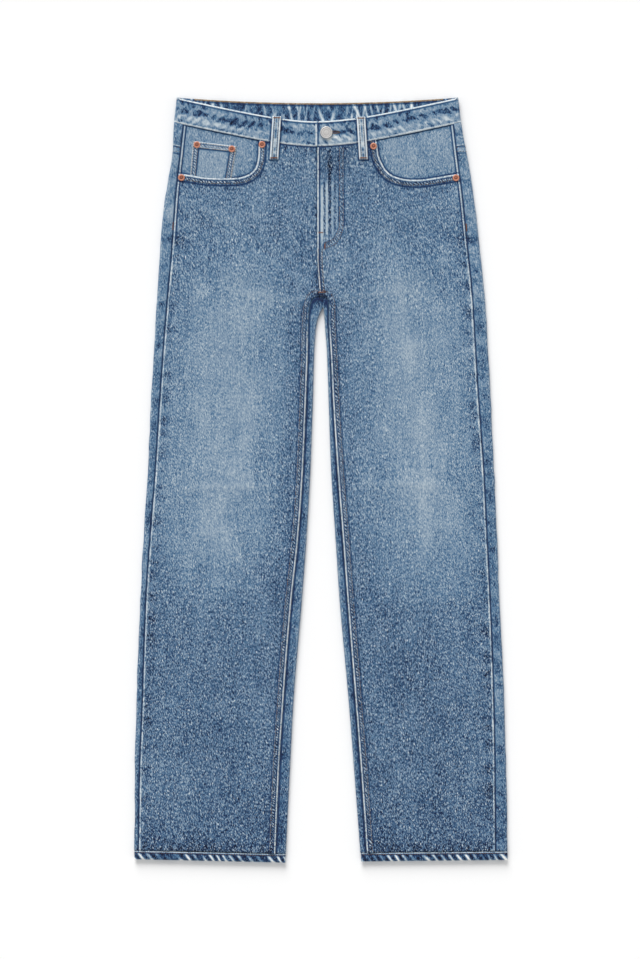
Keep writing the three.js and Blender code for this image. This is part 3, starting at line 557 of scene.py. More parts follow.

# %% [markdown]
# ## Creases
# Pressed and laid out, the cloth keeps a few broad folds from the crotch and hips, some finer whiskers, and
# a ripple beside every seam, where thread has drawn the cloth up. The folds are placed one by one, each with
# its own width and height. The ripples come from smooth random hills with a fixed seed, stretched along the
# seam.

# %% Folds placed one by one
FOLDS = table(
    "x1 y1 x2 y2 width height",
    (-22, 262, -118, 296, 20, 0.7),
    (24, 262, 122, 294, 20, 0.7),
    (-150, 352, -205, 330, 24, -0.6),
    (150, 350, 205, 330, 24, -0.6),
    (-60, 370, -150, 384, 22, 0.5),
    (60, 366, 150, 384, 22, 0.5),
    (-60, 10, -190, 2, 30, 0.5),
    (60, 10, 190, 2, 30, 0.5),
)
WHISKERS = table(
    "x1 y1 x2 y2 width height",
    (-20, 276, -92, 318, 5, 0.32),
    (-26, 252, -110, 262, 6, 0.28),
    (-30, 300, -84, 342, 4, 0.22),
    (-196, 392, -120, 362, 5, 0.24),
    (-205, 372, -142, 352, 4, -0.22),
    (-206, 300, -160, 316, 6, 0.20),
    (-176, 228, -120, 238, 7, 0.16),
    (-66, 60, -150, 48, 6, 0.14),
    (-60, -6, -196, -12, 5, 0.24),
    (-74, -60, -180, -78, 7, 0.15),
    (-90, -150, -200, -140, 8, 0.14),
    (14, 284, 88, 330, 5, 0.30),
    (30, 256, 116, 268, 6, 0.26),
    (44, 318, 100, 356, 4, 0.22),
    (192, 398, 128, 372, 5, 0.24),
    (203, 340, 150, 352, 4, -0.22),
    (204, 296, 154, 308, 6, 0.20),
    (180, 196, 116, 188, 7, 0.16),
    (56, 78, 142, 60, 6, 0.14),
    (62, -2, 194, -10, 5, 0.22),
    (70, -70, 176, -62, 7, 0.15),
    (92, -170, 204, -158, 8, 0.14),
)


def fold_height(x, y, folds):
    """How far hand-placed folds lift the cloth."""
    height = np.zeros_like(x)
    for fold in folds:
        run = np.array([fold["x2"] - fold["x1"], fold["y2"] - fold["y1"]], float)
        share = np.clip(((x - fold["x1"]) * run[0] + (y - fold["y1"]) * run[1]) / (run @ run), 0, 1)
        away = np.hypot(x - fold["x1"] - share * run[0], y - fold["y1"] - share * run[1])
        height += fold["height"] * near(away, fold["width"])
    return height


def upper(x, y):
    """The height of the upper layer, as the solids have it."""
    return rise(y) + fold_height(x, y, FOLDS)


print("folds:", len(FOLDS), "whiskers:", len(WHISKERS))

# %% Smooth random hills and seam ripples
HILLS = np.random.RandomState(7).uniform(-1, 1, (64, 128, 128))


def hills(x, y, seed):
    """Random hills about one unit apart, from -1 to 1 and the same on every run."""
    i, j = np.floor(x).astype(int), np.floor(y).astype(int)
    u, v = x - i, y - j
    u, v = u * u * (3 - 2 * u), v * v * (3 - 2 * v)
    corners = [HILLS[seed % 64, (i + a) % 128, (j + b) % 128] for a in (0, 1) for b in (0, 1)]
    return lerp(lerp(corners[0], corners[1], v), lerp(corners[2], corners[3], v), u)


def ridges(along, seed):
    """The same hills where they change along one way only."""
    return hills(along, 0 * along, seed)


def teeth(along, pitch, seed):
    """Uneven teeth along a strip, from 0 to 1, about pitch apart."""
    wave = 0.5 + 0.5 * np.cos(2 * np.pi * (along / pitch + 0.6 * ridges(along / 27, seed)))
    return wave * np.clip(0.75 + 0.7 * ridges(along / 19, seed + 1), 0.1, 1.2)


def ripple(along, away, pitch, reach, seed, lean=0.0):
    """Ripples of a drawn-up seam: pitch apart along it, dying out over reach."""
    wave = hills((along + lean * away) / pitch * 1.9, away / 60.0, seed)
    return wave * near(away, reach)


print("hills:", HILLS.shape)

# %% [markdown]
# ## From points to cloth
# Each panel is a grid of points on its outer face. A grid is quick to bend, and its rows follow the weave.
# The faces are made from it in one go, faces outside the cut are left out, and Solidify gives the cloth its
# real thickness, inwards, so that the outer face stays where the solid's face is.

# %% Cloth from a grid
MARKS = {"tone": 0.5, "grain": 1.0, "ridge": FAR, "groove": FAR, "pucker": FAR, "edge": FAR}


def keep_in_scene(name, mesh, finish, nodes=()):
    """Puts a finished mesh in the scene, riding on the one body."""
    mesh.materials.clear()
    mesh.materials.append(finish)
    mesh.polygons.foreach_set("use_smooth", [True] * len(mesh.polygons))
    piece = add_to_scene(name, mesh)
    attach(piece, "root")
    if nodes:
        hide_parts(*nodes)
    return piece


def quads_of(rows, columns, keep, flip, ring):
    """The faces of a grid, as rows of four corners."""
    number = np.arange(rows * columns).reshape(rows, columns)
    if ring:
        number = np.column_stack([number, number[:, 0]])
    quads = np.stack([number[:-1, :-1], number[1:, :-1], number[1:, 1:], number[:-1, 1:]], axis=-1)
    quads = quads.reshape(-1, 4) if keep is None else quads[keep]
    return quads[:, ::-1] if flip else quads


def state_cut(points, keep):
    """Measures the lengths of the cut's rows across and of its steps down, and keeps nothing of them."""
    shown = 1 if keep is None else keep
    across = np.linalg.norm(np.diff(points[:-1], axis=1), axis=2) * shown
    down = np.linalg.norm(np.diff(points[:, :-1, 1:], axis=0), axis=2) * shown


def cloth(node, at, marks, slot="panel_denim", flip=False, keep=None, wall=CLOTH, ring=False):
    """A panel over one solid, from the grid of its outer points, with rows down the body."""
    points = np.dstack([at.x, at.y, at.z])
    rows, columns = at.x.shape
    used, packed = np.unique(quads_of(rows, columns, keep, flip, ring), return_inverse=True)
    mesh = bpy.data.meshes.new(f"cloth_{node}")
    mesh.from_pydata((points.reshape(-1, 3)[used] * MM).tolist(), [], packed.reshape(-1, 4).tolist())
    for mark_name, usual in MARKS.items():
        values = np.broadcast_to(marks.get(mark_name, usual), (rows, columns)).reshape(-1)[used]
        mesh.attributes.new(mark_name, "FLOAT", "POINT").data.foreach_set("value", values.astype(np.float32))
    mesh.validate()
    piece = keep_in_scene(f"cloth_{node}", mesh, denims[slot], [node])
    thicken = piece.modifiers.new("cloth_thickness", "SOLIDIFY")
    thicken.thickness = wall * MM
    thicken.offset = -1.0
    state_cut(points, keep)
    return piece

# %% [markdown]
# ## Front panels
# A front panel is one layer from the waist seam to the hem. Its rows fan out round the crotch, where the
# straight legs meet the curved rise. Close columns lie beside both seams, because that is where the cloth
# rolls down, and wide ones in the middle, where only broad folds show. The scoop of the hand pocket is a
# smooth line: points just beyond it are pulled onto it, which gives a clean edge without a boolean.

# %% Scoop lines
RIGHT_SCOOP = [
    (-86.2, 478), (-86.6, 470.5), (-87.4, 463.3), (-87.9, 451.6), (-90.2, 440), (-95.4, 431.4),
    (-106, 425), (-122, 422.1), (-157.8, 422.5), (-180, 425.8), (-192.2, 427.6), (-230, 433),
]
LEFT_SCOOP = [
    (77.4, 478), (78, 471.5), (79.2, 464.2), (80.8, 453.6), (85.1, 442.8), (92.5, 431.4),
    (104.4, 423.9), (122.6, 420), (144.1, 420.4), (165.5, 423.6), (184.7, 426.9), (230, 434),
]


def smooth_line(points, steps=24):
    """A smooth line through points, with steps from one to the next."""
    p = np.array(points, float)
    p = np.vstack([2 * p[0] - p[1], p, 2 * p[-1] - p[-2]])
    t = (np.arange(steps) / steps)[:, None]
    spans = []
    for a, b, c, d in zip(p[:-3], p[1:-2], p[2:-1], p[3:]):
        bend = t**2 * (a - 2.5 * b + 2 * c - d / 2) + t**3 * (1.5 * (b - c) + (d - a) / 2)
        spans.append(b + t * (c - a) / 2 + bend)
    return np.vstack([*spans, p[-2]])


def lengths_along(line):
    """How far each point of a line lies from its start."""
    return np.r_[0, np.cumsum(np.linalg.norm(np.diff(line, axis=0), axis=1))]


def from_line(x, y, line, side):
    """Distance from a scoop line, above 0 on the panel's side, with the nearest point and its place."""
    flat = np.column_stack([np.ravel(x), np.ravel(y)])
    away = np.hypot(flat[:, 0:1] - line[:, 0], flat[:, 1:2] - line[:, 1])
    nearest = away.argmin(axis=1)
    tangents = np.gradient(line, axis=0)[nearest]
    offset = flat - line[nearest]
    sign = np.sign(tangents[:, 0] * offset[:, 1] - tangents[:, 1] * offset[:, 0]) * -side
    distance = away[np.arange(len(flat)), nearest] * np.where(sign == 0, 1, sign)
    along = lengths_along(line)[nearest]
    return distance.reshape(np.shape(x)), line[nearest].reshape(*np.shape(x), 2), along.reshape(np.shape(x))


scoops = {"right": smooth_line(RIGHT_SCOOP), "left": smooth_line(LEFT_SCOOP)}
print("scoop points:", {word: len(line) for word, line in scoops.items()})

# %% Stations across and down a front
OUTER_STEPS = (0, 0.8, 1.6, 2.4, 3.3, 4.4, 5.8, 7.6, 9.8)  # mm from the outseam
INNER_STEPS = (  # mm from the inseam or the fly
    38, 36, 34, 32, 30, 28, 26, 24, 22, 20, 18, 16, 14, 12, 10.8, 9.9, 9.2, 8.0, 6.4, 4.8, 3.2, 2.0, 1.0, 0,
)
MIDDLE_COLUMNS = 62
FRONT_COLUMNS = len(OUTER_STEPS) + MIDDLE_COLUMNS - 2 + len(INNER_STEPS)
ROW_STEP = 2.7
WAIST_ROWS = (0, 0.7, 1.5, 2.6, 4.0)


def even(start, end, step):
    """Even stations from start to end, about step apart."""
    return np.linspace(start, end, int(np.ceil(abs(end - start) / step)) + 1)


def columns_over(width):
    """Distances from the outer edge: close beside both edges and even between them."""
    middle = np.linspace(OUTER_STEPS[-1], width - INNER_STEPS[0], MIDDLE_COLUMNS, axis=-1)[..., 1:-1]
    outer = np.broadcast_to(OUTER_STEPS, (*width.shape, len(OUTER_STEPS)))
    inner = width[..., None] - np.array(INNER_STEPS)
    return np.concatenate([outer, middle, inner], axis=-1)


def front_rows(leg):
    """Heights of a front's rows at its outer side, close together below the waist seam."""
    close = WAIST_SIDE - np.array(WAIST_ROWS)
    return np.r_[close[:-1], even(close[-1], leg.low, ROW_STEP)]


print("rows:", len(front_rows(right)), "columns:", FRONT_COLUMNS)

# %% Plan of a front panel
FLY_X = -5.2
FLY_BOTTOM = 325.0
CENTRE_BEND = 55.0
CENTRE_BACK_X = 0.0
PLAN_ROUNDS = 7  # the seams lean, so a row's width and height are found in a few rounds


def centre_front(y):
    return lerp(CROTCH_POINT["x"], FLY_X, smooth(y, CROTCH_POINT["y"], CROTCH_POINT["y"] + CENTRE_BEND))


def centre_back(y):
    return lerp(SEAT_TURN["x"], CENTRE_BACK_X, smooth(y, SEAT_TURN["y"], SEAT_TURN["y"] + CENTRE_BEND))


def front_plan(leg, folds):
    """Places of a front's points, and how far each lies from the outseam and from the inner edge."""
    fold = folds[:, None]
    edge_x, edge_y = leg.edge(fold)
    up = (fold - CROTCH_SIDE) / (WAIST_SIDE - CROTCH_SIDE)
    y = fold + np.zeros(FRONT_COLUMNS)
    for _ in range(PLAN_ROUNDS):
        outer = leg.seam_out(y)
        inner = np.where(fold > CROTCH_SIDE, centre_front(y), edge_x)
        spans = np.abs(inner - outer)
        share = columns_over(spans.mean(axis=1)) / spans.mean(axis=1)[:, None]
        x = lerp(outer, inner, share)
        foot = lerp(CROTCH_SIDE, CROTCH_POINT["y"], share**2)
        above = lerp(foot, front_edge(FRONT_SEAM, x), up)
        y = np.where(fold > CROTCH_SIDE, above, lerp(fold, edge_y, share**2))
    outseam = np.abs(x - leg.seam_out(y))
    return SimpleNamespace(x=x, y=y, share=share, outseam=outseam, inseam=spans * (1 - share))


plans = {leg.word: front_plan(leg, front_rows(leg)) for leg in LEGS}
print("plan of a front:", plans["right"].x.shape)

# %% Wash and fade of the fronts
WASH = table(
    "y centre outer inner",
    (505, 0.49, 0.46, 0.46),
    (420, 0.475, 0.455, 0.455),
    (360, 0.475, 0.455, 0.455),
    (322, 0.50, 0.465, 0.455),
    (280, 0.55, 0.48, 0.45),
    (196, 0.595, 0.495, 0.44),
    (84, 0.605, 0.50, 0.44),
    (-28, 0.60, 0.495, 0.445),
    (-84, 0.565, 0.485, 0.445),
    (-140, 0.50, 0.45, 0.425),
    (-196, 0.44, 0.43, 0.42),
    (-252, 0.415, 0.44, 0.42),
    (-364, 0.405, 0.43, 0.42),
    (-420, 0.395, 0.42, 0.41),
    (-476, 0.37, 0.40, 0.38),
    (-520, 0.345, 0.375, 0.355),
)
FADE = {"share": 0.46, "reach": 0.33}
wash = {name: curve(WASH, name) for name in ("centre", "outer", "inner")}


def front_tone(y, share):
    """How washed a front is: faded in a long soft oval down the thigh and knee."""
    side = np.where(share < FADE["share"], wash["outer"](y), wash["inner"](y))
    return lerp(side, wash["centre"](y), near(share - FADE["share"], FADE["reach"]))

# %% Steps and ridges of the front
FELL = {"height": 0.8, "width": 9.6}
BUTTON = {"x": 7.4, "y": 485.0}
BAND_END = {"left": -7.9, "right": 33.6}
END_LIFT = {"full": 35.0, "none": 49.0}
LIFT = BAND_WALL + GAP
FLY_STEP = 0.9
FLY_RIDGES = table(
    "x top bottom width height",
    (1.4, 412, 330, 2.0, 0.55),
    (5.2, 412, 340, 1.3, -0.40),
    (8.0, 418, 345, 1.8, 0.60),
    (12.2, 462, 345, 1.7, -0.65),
    (16.0, 420, 350, 1.5, 0.40),
    (19.2, 415, 350, 1.4, -0.30),
    (22.5, 410, 350, 1.6, 0.30),
)


def fly_lift(x, y):
    """The left front and the left end of the waistband climb over what is under them."""
    lap = FLY_STEP * (1 - smooth(x, 8, 20)) * smooth(y, FLY_BOTTOM - 30, FLY_BOTTOM + 10)
    end = LIFT * (1 - smooth(x, END_LIFT["full"], END_LIFT["none"])) * smooth(y, 432, 464)
    return np.maximum(lap, end)


def edge_roll(away, depth=0.8, reach=1.3):
    """A cut or folded edge bends down over its last millimetre or two."""
    return -depth * near(away, reach)


def fly_relief(x, y):
    """Ridges over the zip, under the left front beside its edge."""
    height = np.zeros_like(x)
    for ridge in FLY_RIDGES:
        foot = smooth(y, ridge["bottom"] - 12, ridge["bottom"] + 8)
        head = 1 - smooth(y, ridge["top"] - 8, ridge["top"] + 12)
        height += ridge["height"] * foot * head * near(x - ridge["x"], ridge["width"])
    return height

# %% What lies near a point of the front
J_STITCH = {
    "outer": [(30.8, 463), (30.8, 410), (30.8, 358), (28.0, 343), (20.5, 330.5), (8.4, 324.8)],
    "inner": [(25.9, 463), (25.9, 410), (25.9, 361), (23.4, 347), (17.0, 336.5), (7.0, 331.8)],
}
FRONT_LOOPS = table(
    "name top_x top_y foot_x foot_y",
    ("belt_loop_front_right", -61.7, 508, -65.7, 448),
    ("belt_loop_front_left", 55.7, 507.4, 59.4, 448),
)
# the painted shadow of a belt loop reaches this far beside it and below its foot
LOOP_SHADE = {"beside": 7.2, "below": 1.2}


def only(where, distance):
    """A distance, or far away where it doesn't count."""
    return np.where(where, distance, FAR)


def from_fly_stitches(x, y):
    """Distance from the middle of the curved double row that holds the fly."""
    middle = (smooth_line(J_STITCH["outer"], 8) + smooth_line(J_STITCH["inner"], 8)) / 2
    away = np.full(x.shape, FAR)
    close = (x > -4) & (x < 50) & (y > 310) & (y < 470)
    away[close] = np.hypot(x[close][:, None] - middle[:, 0], y[close][:, None] - middle[:, 1]).min(axis=1)
    return away


def from_loop_shadows(x, y):
    """Distance from the painted shadow that a belt loop casts round its outline on what is under it."""
    away = np.full(np.shape(x), FAR)
    for loop in FRONT_LOOPS:
        share = (loop["top_y"] - y) / (loop["top_y"] - loop["foot_y"])
        side = np.abs(x - lerp(loop["top_x"], loop["foot_x"], share)) - LOOP_SHADE["beside"]
        below = loop["foot_y"] - LOOP_SHADE["below"] - y
        beside = np.hypot(side, np.maximum(0, below))
        away = least(away, beside, np.hypot(np.maximum(side, 0), below))
    return away

# %% Dark places, with painted shadow at the crotch
TACK_SHADE = {"x": 206.0, "y": 336.0, "wide": 14.0, "high": 8.0, "tone": 0.28}
# painted shadow where the legs part at the crotch
CROTCH_SHADE = {"x": 0.0, "y": 256.0, "wide": 13.0, "high": 9.0, "tone": 0.32}
FLY_SHADES = table(
    "x y wide high tone",
    (14, 440, 13, 18, 0.13),
    (3, 408, 5, 12, 0.10),
    (20, 395, 10, 14, 0.06),
)
SEAM_BLOTCH = {"below": 325.0, "pitch": 27.0, "tone": 0.16, "from_edge": 8.0, "reach": 7.0}


def shade(x, y, spot):
    """How much darker a point is near the middle of a dark spot."""
    return spot["tone"] * near(x - spot["x"], spot["wide"]) * near(y - spot["y"], spot["high"])


def crotch_shade_and_tack_spot(x, y):
    """Painted shadow at the crotch, where the legs part, and a dark spot below the tack that ends an
    outseam's stitches.
    """
    return shade(np.abs(x), y, TACK_SHADE) + shade(x, y, CROTCH_SHADE)


def seam_blotches(y, away, seed):
    """Dark blotches beside the outseam, below its top stitching, where the seam allowance lies double."""
    blotch = SEAM_BLOTCH
    below = smooth(-y, -blotch["below"], 30 - blotch["below"])
    beside = near(away - blotch["from_edge"], blotch["reach"])
    return blotch["tone"] * below * teeth(y, blotch["pitch"], seed) * beside

# %% [markdown]
# The distances come first, because ripples, height and wash depend on them. The wash follows the relief:
# what stands proud has been rubbed pale, and what lies low has stayed blue.

# %% Distances and creases of a front
SCOOP_BAND = 9.4
SCOOP_ZONE = 350.0
FRONT_RIPPLES = table(  # along and away name distances
    "height along away pitch reach seed lean",
    (0.50, "y", "outseam", 15, 9, 11, -0.8),
    (0.35, "y", "inseam", 9, 7, 21, 0.6),
    (0.35, "x", "waist", 9, 9, 31, 0.3),
    (0.30, "along_scoop", "band", 8, 8, 41, 0.0),
    (0.55, "x", "hem", 11, 12, 51, 0.5),
)


def front_fields(leg):
    """A front's plan with its scoop cut out, and distances from its edges."""
    at = SimpleNamespace(**{name: part.copy() for name, part in vars(plans[leg.word]).items()})
    at.scoop = np.full(at.x.shape, FAR)
    at.along_scoop = np.zeros_like(at.x)
    zone = at.y.min(axis=1) > SCOOP_ZONE
    line = scoops[leg.word]
    at.scoop[zone], nearest, at.along_scoop[zone] = from_line(at.x[zone], at.y[zone], line, leg.side)
    beyond = at.scoop < 0
    at.keep = ~all_corners(beyond)
    at.x[beyond], at.y[beyond] = nearest[beyond[zone]].T
    at.scoop[beyond] = 0
    at.outseam[beyond] = np.abs(at.x - leg.seam_out(at.y))[beyond]
    at.band = at.scoop - SCOOP_BAND
    at.waist = front_edge(FRONT_SEAM, at.x) - at.y
    at.hem = at.y - leg.low
    at.below = 1 - smooth(at.y, 240, 256)  # 1 below the crotch
    return at


def front_creases(at, side):
    """Whiskers, ripples beside the seams, and a slight unevenness all over."""
    strength = {"outseam": smooth(-at.y, -500, -340), "inseam": 0.5 + 0.5 * at.below, "band": at.scoop > 0}
    small = fold_height(at.x, at.y, WHISKERS)
    for row in FRONT_RIPPLES:
        along, away = vars(at)[row["along"]], vars(at)[row["away"]]
        wave = ripple(along, away, row["pitch"], row["reach"], row["seed"] + side, row["lean"])
        small += row["height"] * wave * strength.get(row["away"], 1.0)
    return small + 0.16 * hills(at.x / 21, at.y / 46, 3 + side) + 0.09 * hills(at.x / 9, at.y / 26, 8)


def front_height(at, small):
    """The outer face: the solid's height, the creases, the scoop's turned band, the fell and the edges."""
    fell = FELL["height"] * at.below * smooth(-at.inseam, -FELL["width"] - 0.5, -FELL["width"] + 0.6)
    band = 0.5 * (1 - smooth(at.scoop, SCOOP_BAND - 0.6, SCOOP_BAND + 0.6))
    z = upper(at.x, at.y) + small + band + fell
    z += edge_roll(at.outseam) + 0.3 * near(at.outseam - 2.1, 1.0)
    return z + edge_roll(at.scoop, 0.5, 1.0) + edge_roll(at.inseam, 0.5, 1.0) * at.below

# %% Wash, painted shade and seam lines of a front
TONE_PER_MM = 0.19  # how much paler a point is for each millimetre that small creases lift it
# The band below the waist seam is painted shade under the waistband.
FRONT_SHADES = table(  # dark bands beside the edges
    "beside from_it reach tone",
    ("waist", 0, 9, 0.08),
    ("inseam", 6, 4.5, 0.06),
    ("scoop", 7, 6, 0.06),
    ("hem", 0, 12, 0.10),
)
LEG_SHADES = {"left": 0.012, "right": 0.03}
LEFT_SHIN = 0.012
HEM_LINES = {"pitch": 11.5, "lean": 0.5, "tone": 0.26}
RISE_FOOT = 262.0  # the rise's own lines start here


# Wash and wear of a front, with painted shade below the waistband and at the crotch.
def front_wash_and_shade(at, leg, small):
    tone = front_tone(at.y, at.share) + TONE_PER_MM * small
    if leg is left:
        tone -= LEFT_SHIN * smooth(-at.y, 60, 200)
    for row in FRONT_SHADES:
        strength = at.below if row["beside"] == "inseam" else 1.0
        tone -= row["tone"] * strength * near(vars(at)[row["beside"]] - row["from_it"], row["reach"])
    tone -= crotch_shade_and_tack_spot(at.x, at.y) + seam_blotches(at.y, at.outseam, 92 + leg.side)
    tone -= LEG_SHADES[leg.word] * near(at.inseam - 17, 10) * at.below
    phase = (at.x - HEM_LINES["lean"] * at.hem) / HEM_LINES["pitch"] + 0.5 * ridges(at.x / 31, 14 + leg.side)
    lines = np.maximum(0, np.cos(2 * np.pi * phase)) ** 2
    return tone + HEM_LINES["tone"] * (lines - 0.25) * near(at.hem - 3, 8)


def front_lines(at, side):
    """Distances from the rubbed ridges, the puckers, and the grooves dark with dirt and painted shade along a
    front's seams.
    """
    plain_seam = smooth(-at.y, -TACK_SHADE["y"], 6 - TACK_SHADE["y"])
    worn_off = 1 + plain_seam * np.clip(0.5 + 1.1 * ridges(at.y / 7, 90 + side), 0, 2)
    on_leg = at.y < 252
    ridge = [
        np.abs(at.outseam - 2.1) * worn_off,
        only(on_leg, np.abs(at.inseam - 0.8) * (1 + 6 * smooth(at.y, 192, 222))),
    ]
    # painted shadow lines under the waistband, beyond the fell's edge and round the belt loops, and dirt in
    # the seams
    groove = [
        np.abs(at.outseam) * (1 + 0.5 * plain_seam),
        np.abs(at.outseam - 4.1) * (1 + 4 * plain_seam),
        only(at.waist < 30, np.abs(at.waist - 0.2) * 0.75),
        only(on_leg, np.abs(at.inseam - FELL["width"] - 0.6) * 1.8),
        only(on_leg, np.abs(at.inseam - 2.9) * 1.5),
        from_loop_shadows(at.x, at.y),
    ]
    return ridge, groove, [only(at.y < 250, np.abs(at.inseam - 5.0))]

# %% Front panels
def fly_wash(at, fly):
    """The fly's ridges are pale, and so is the cloth over the zip, between darker spots."""
    over_zip = smooth(at.y, 335, 350) * (1 - smooth(at.y, 408, 420)) * (1 - smooth(at.x, 20, 26))
    return 0.55 * fly + 0.07 * over_zip - sum(shade(at.x, at.y, spot) for spot in FLY_SHADES)


def front_panel(leg):
    at = front_fields(leg)
    small = front_creases(at, leg.side)
    at.z = front_height(at, small)
    tone = front_wash_and_shade(at, leg, small)
    ridge, groove, pucker = front_lines(at, leg.side)
    on_rise = at.y > RISE_FOOT
    if leg is left:
        fly = fly_relief(at.x, at.y)
        at.z += fly_lift(at.x, at.y) + fly + edge_roll(at.inseam, 0.4, 1.0) * (1 - at.below)
        tone += fly_wash(at, fly)
        from_stitches = from_fly_stitches(at.x, at.y)
        ridge.append(only(on_rise, np.abs(at.inseam - 0.9) * 0.8))
        groove += [only(on_rise, np.abs(at.inseam - 3.2)), np.abs(from_stitches - 4.4) * 1.3]
        pucker += [from_stitches, only(on_rise & (at.y < 322), np.abs(at.inseam - 5.6))]
    else:
        # painted shadow that the left front's fly lap casts along the right front's edge
        tone -= 0.10 * near(at.inseam, 3.5) * (1 - at.below)
        groove.append(only(on_rise, np.abs(at.inseam + 0.2)))
    lines = {"ridge": ridge, "groove": groove, "pucker": pucker}
    marks = {name: least(*distances) for name, distances in lines.items()}
    marks.update(tone=tone, edge=at.scoop)
    return cloth(f"front_{leg.word}", at, marks, flip=leg is left, keep=at.keep)


tops = [front_panel(leg) for leg in LEGS]

# %% [markdown]
# ## Back panels and yokes
# The back of each leg is wider than the front. It comes up round both folds and ends at the seams on top,
# so its rows are worked out as a strip, a half turn, the lower layer on the ground and, below the crotch,
# another half turn and strip. Its lower layer rests flat, with only shallow troughs where the cloth stands
# off the floor.

# %% The lower layer and its turns
POCKET_ZONE = {
    "inside": 0.10, "inside_top": 0.16, "outside_top": 0.85, "outside": 0.91, "bottom": 224.0, "full": 256.0,
}
SEAT_LIFT = 2.2
SEAT_RAMP = {"from": 425.0, "to": 464.0}


def lower(share, y):
    """Height of the lower layer: share is 0 at the centre back and 1 at the outer fold."""
    zone = POCKET_ZONE
    inside = smooth(share, zone["inside"], zone["inside_top"])
    across = inside * (1 - smooth(share, zone["outside_top"], zone["outside"]))
    pocket = LAYER * across * smooth(y, zone["bottom"], zone["full"])
    return np.maximum(pocket, SEAT_LIFT * smooth(y, SEAT_RAMP["from"], SEAT_RAMP["to"]))


def half_turn(at_x, at_y, inward_x, inward_y, top, bottom, angles):
    """Points round a fold, from the upper layer at angle 0 to the lower layer at half a turn."""
    radius = (top - bottom) / 2
    back = radius * (1 - np.sin(angles))
    z = (top + bottom) / 2 + radius * np.cos(angles)
    return at_x + inward_x * back, at_y + inward_y * back, z


def joined(parts):
    """Grids of points side by side, and the number of the part that each column belongs to."""
    full = [np.broadcast_arrays(*part) for part in parts]
    x, y, z = (np.concatenate([part[i] for part in full], axis=1) for i in range(3))
    number = np.repeat(np.arange(len(full)), [part[0].shape[1] for part in full])
    return SimpleNamespace(x=x, y=y, z=z, part=np.broadcast_to(number, x.shape))

# %% Rows of a wrapped panel
STRIP, OUTER_TURN, BENEATH, INNER_TURN, INNER_STRIP = range(5)  # the parts of a row, outseam first
STRIP_COLUMNS = 9
TURN_COLUMNS = 10
UNDER_COLUMNS = 52
UNDER_FROM = STRIP_COLUMNS + TURN_COLUMNS
UNDER_TO = UNDER_FROM + UNDER_COLUMNS
SEAM_ROUNDS = 4


def wrapped_rows(leg, folds, height_at):
    """A back or yoke panel's points. Only rows below the crotch use the inner turn and inner strip."""
    fold = folds[:, None]
    on_body = fold > CROTCH_SIDE
    up = np.maximum(0, (fold - CROTCH_SIDE) / (WAIST_SIDE - CROTCH_SIDE))

    def top_y(x):
        return np.where(on_body, lerp(CROTCH_SIDE, front_edge(FRONT_SEAM, x), up), fold)

    seam = leg.seam_out(fold)
    for _ in range(SEAM_ROUNDS):
        seam = leg.seam_out(top_y(seam))
    fold_x = leg.fold_out(fold)
    top, bottom = upper(fold_x, fold), lower(1.0, fold)
    turned_x = fold_x - leg.side * (top - bottom) / 2
    strip_x = lerp(seam, turned_x, np.linspace(0, 1, STRIP_COLUMNS + 1)[:-1] ** 1.3)
    strip_y = top_y(strip_x)
    angles = np.linspace(0, np.pi, TURN_COLUMNS)
    outer_turn = half_turn(fold_x, fold + 0 * angles, -leg.side, 0, top, bottom, angles)

    turn_x, turn_y = leg.turn(fold)
    edge_x, edge_y = leg.edge(fold)
    reach = np.hypot(edge_x - turn_x, edge_y - turn_y)
    inward_x, inward_y = (edge_x - turn_x) / reach, (edge_y - turn_y) / reach
    inner_top = upper(turn_x, turn_y)
    start_x, start_y = turn_x + inward_x * inner_top / 2, turn_y + inward_y * inner_top / 2
    centre_y = height_at(CENTRE_BACK_X, 1.0, fold)
    end_x, end_y = np.where(on_body, centre_back(centre_y), start_x), np.where(on_body, centre_y, start_y)
    over = np.linspace(0, 1, UNDER_COLUMNS + 1)[1:]
    under_x = lerp(turned_x, end_x, over)
    under_y = np.where(on_body, height_at(under_x, over, fold), lerp(fold, end_y, over**2))
    inner_turn = half_turn(turn_x, turn_y, inward_x, inward_y, inner_top, 0.0, angles[::-1][1:])
    share = np.linspace(0, 1, STRIP_COLUMNS + 1)[1:] ** 0.8
    inner_x, inner_y = lerp(start_x, edge_x, share), lerp(start_y, edge_y, share)
    at = joined([
        (strip_x, strip_y, upper(strip_x, strip_y)), outer_turn, (under_x, under_y, lower(1 - over, under_y)),
        inner_turn, (inner_x, inner_y, upper(inner_x, inner_y)),
    ])
    at.outseam = only(at.part == STRIP, np.abs(at.x - seam))
    at.inseam = only(at.part == INNER_STRIP, np.abs(at.x - edge_x))
    return at

# %% Shape, wash and painted shade of a wrapped panel
BACK_WASH = {"seat": 0.53, "leg": 0.475, "foot": 0.41, "middle": 0.07, "inner": -0.07}


def bend_wrapped(at, side):
    """Adds ripples, an uneven fold and troughs to a wrapped panel. Gives the ripples and troughs back."""
    column = np.arange(at.x.shape[1])
    small = 0.45 * ripple(at.y, np.minimum(at.outseam, 14), 14, 14, 61 + side, 0.7) * (at.part == STRIP)
    inner = at.part == INNER_STRIP
    small += 0.40 * ripple(at.y, np.minimum(at.inseam, 14), 10, 12, 71 + side, -0.6) * inner
    round_turn = np.sin(np.pi * (column - STRIP_COLUMNS + 1) / (TURN_COLUMNS + 1))
    at.x = at.x + (at.part == OUTER_TURN) * side * 0.5 * ridges(at.y / 17, 5 + side) * round_turn
    troughs = 0.5 * np.maximum(0, hills(at.x / 40, at.y / 22, 33 + side)) ** 2 * (at.part == BENEATH)
    troughs *= smooth(np.minimum(column - UNDER_FROM, UNDER_TO - column), 1, 8)
    at.z = at.z + small + edge_roll(at.outseam, 0.9, 1.2) + edge_roll(at.inseam, 1.25, 0.9) + troughs
    return small, troughs


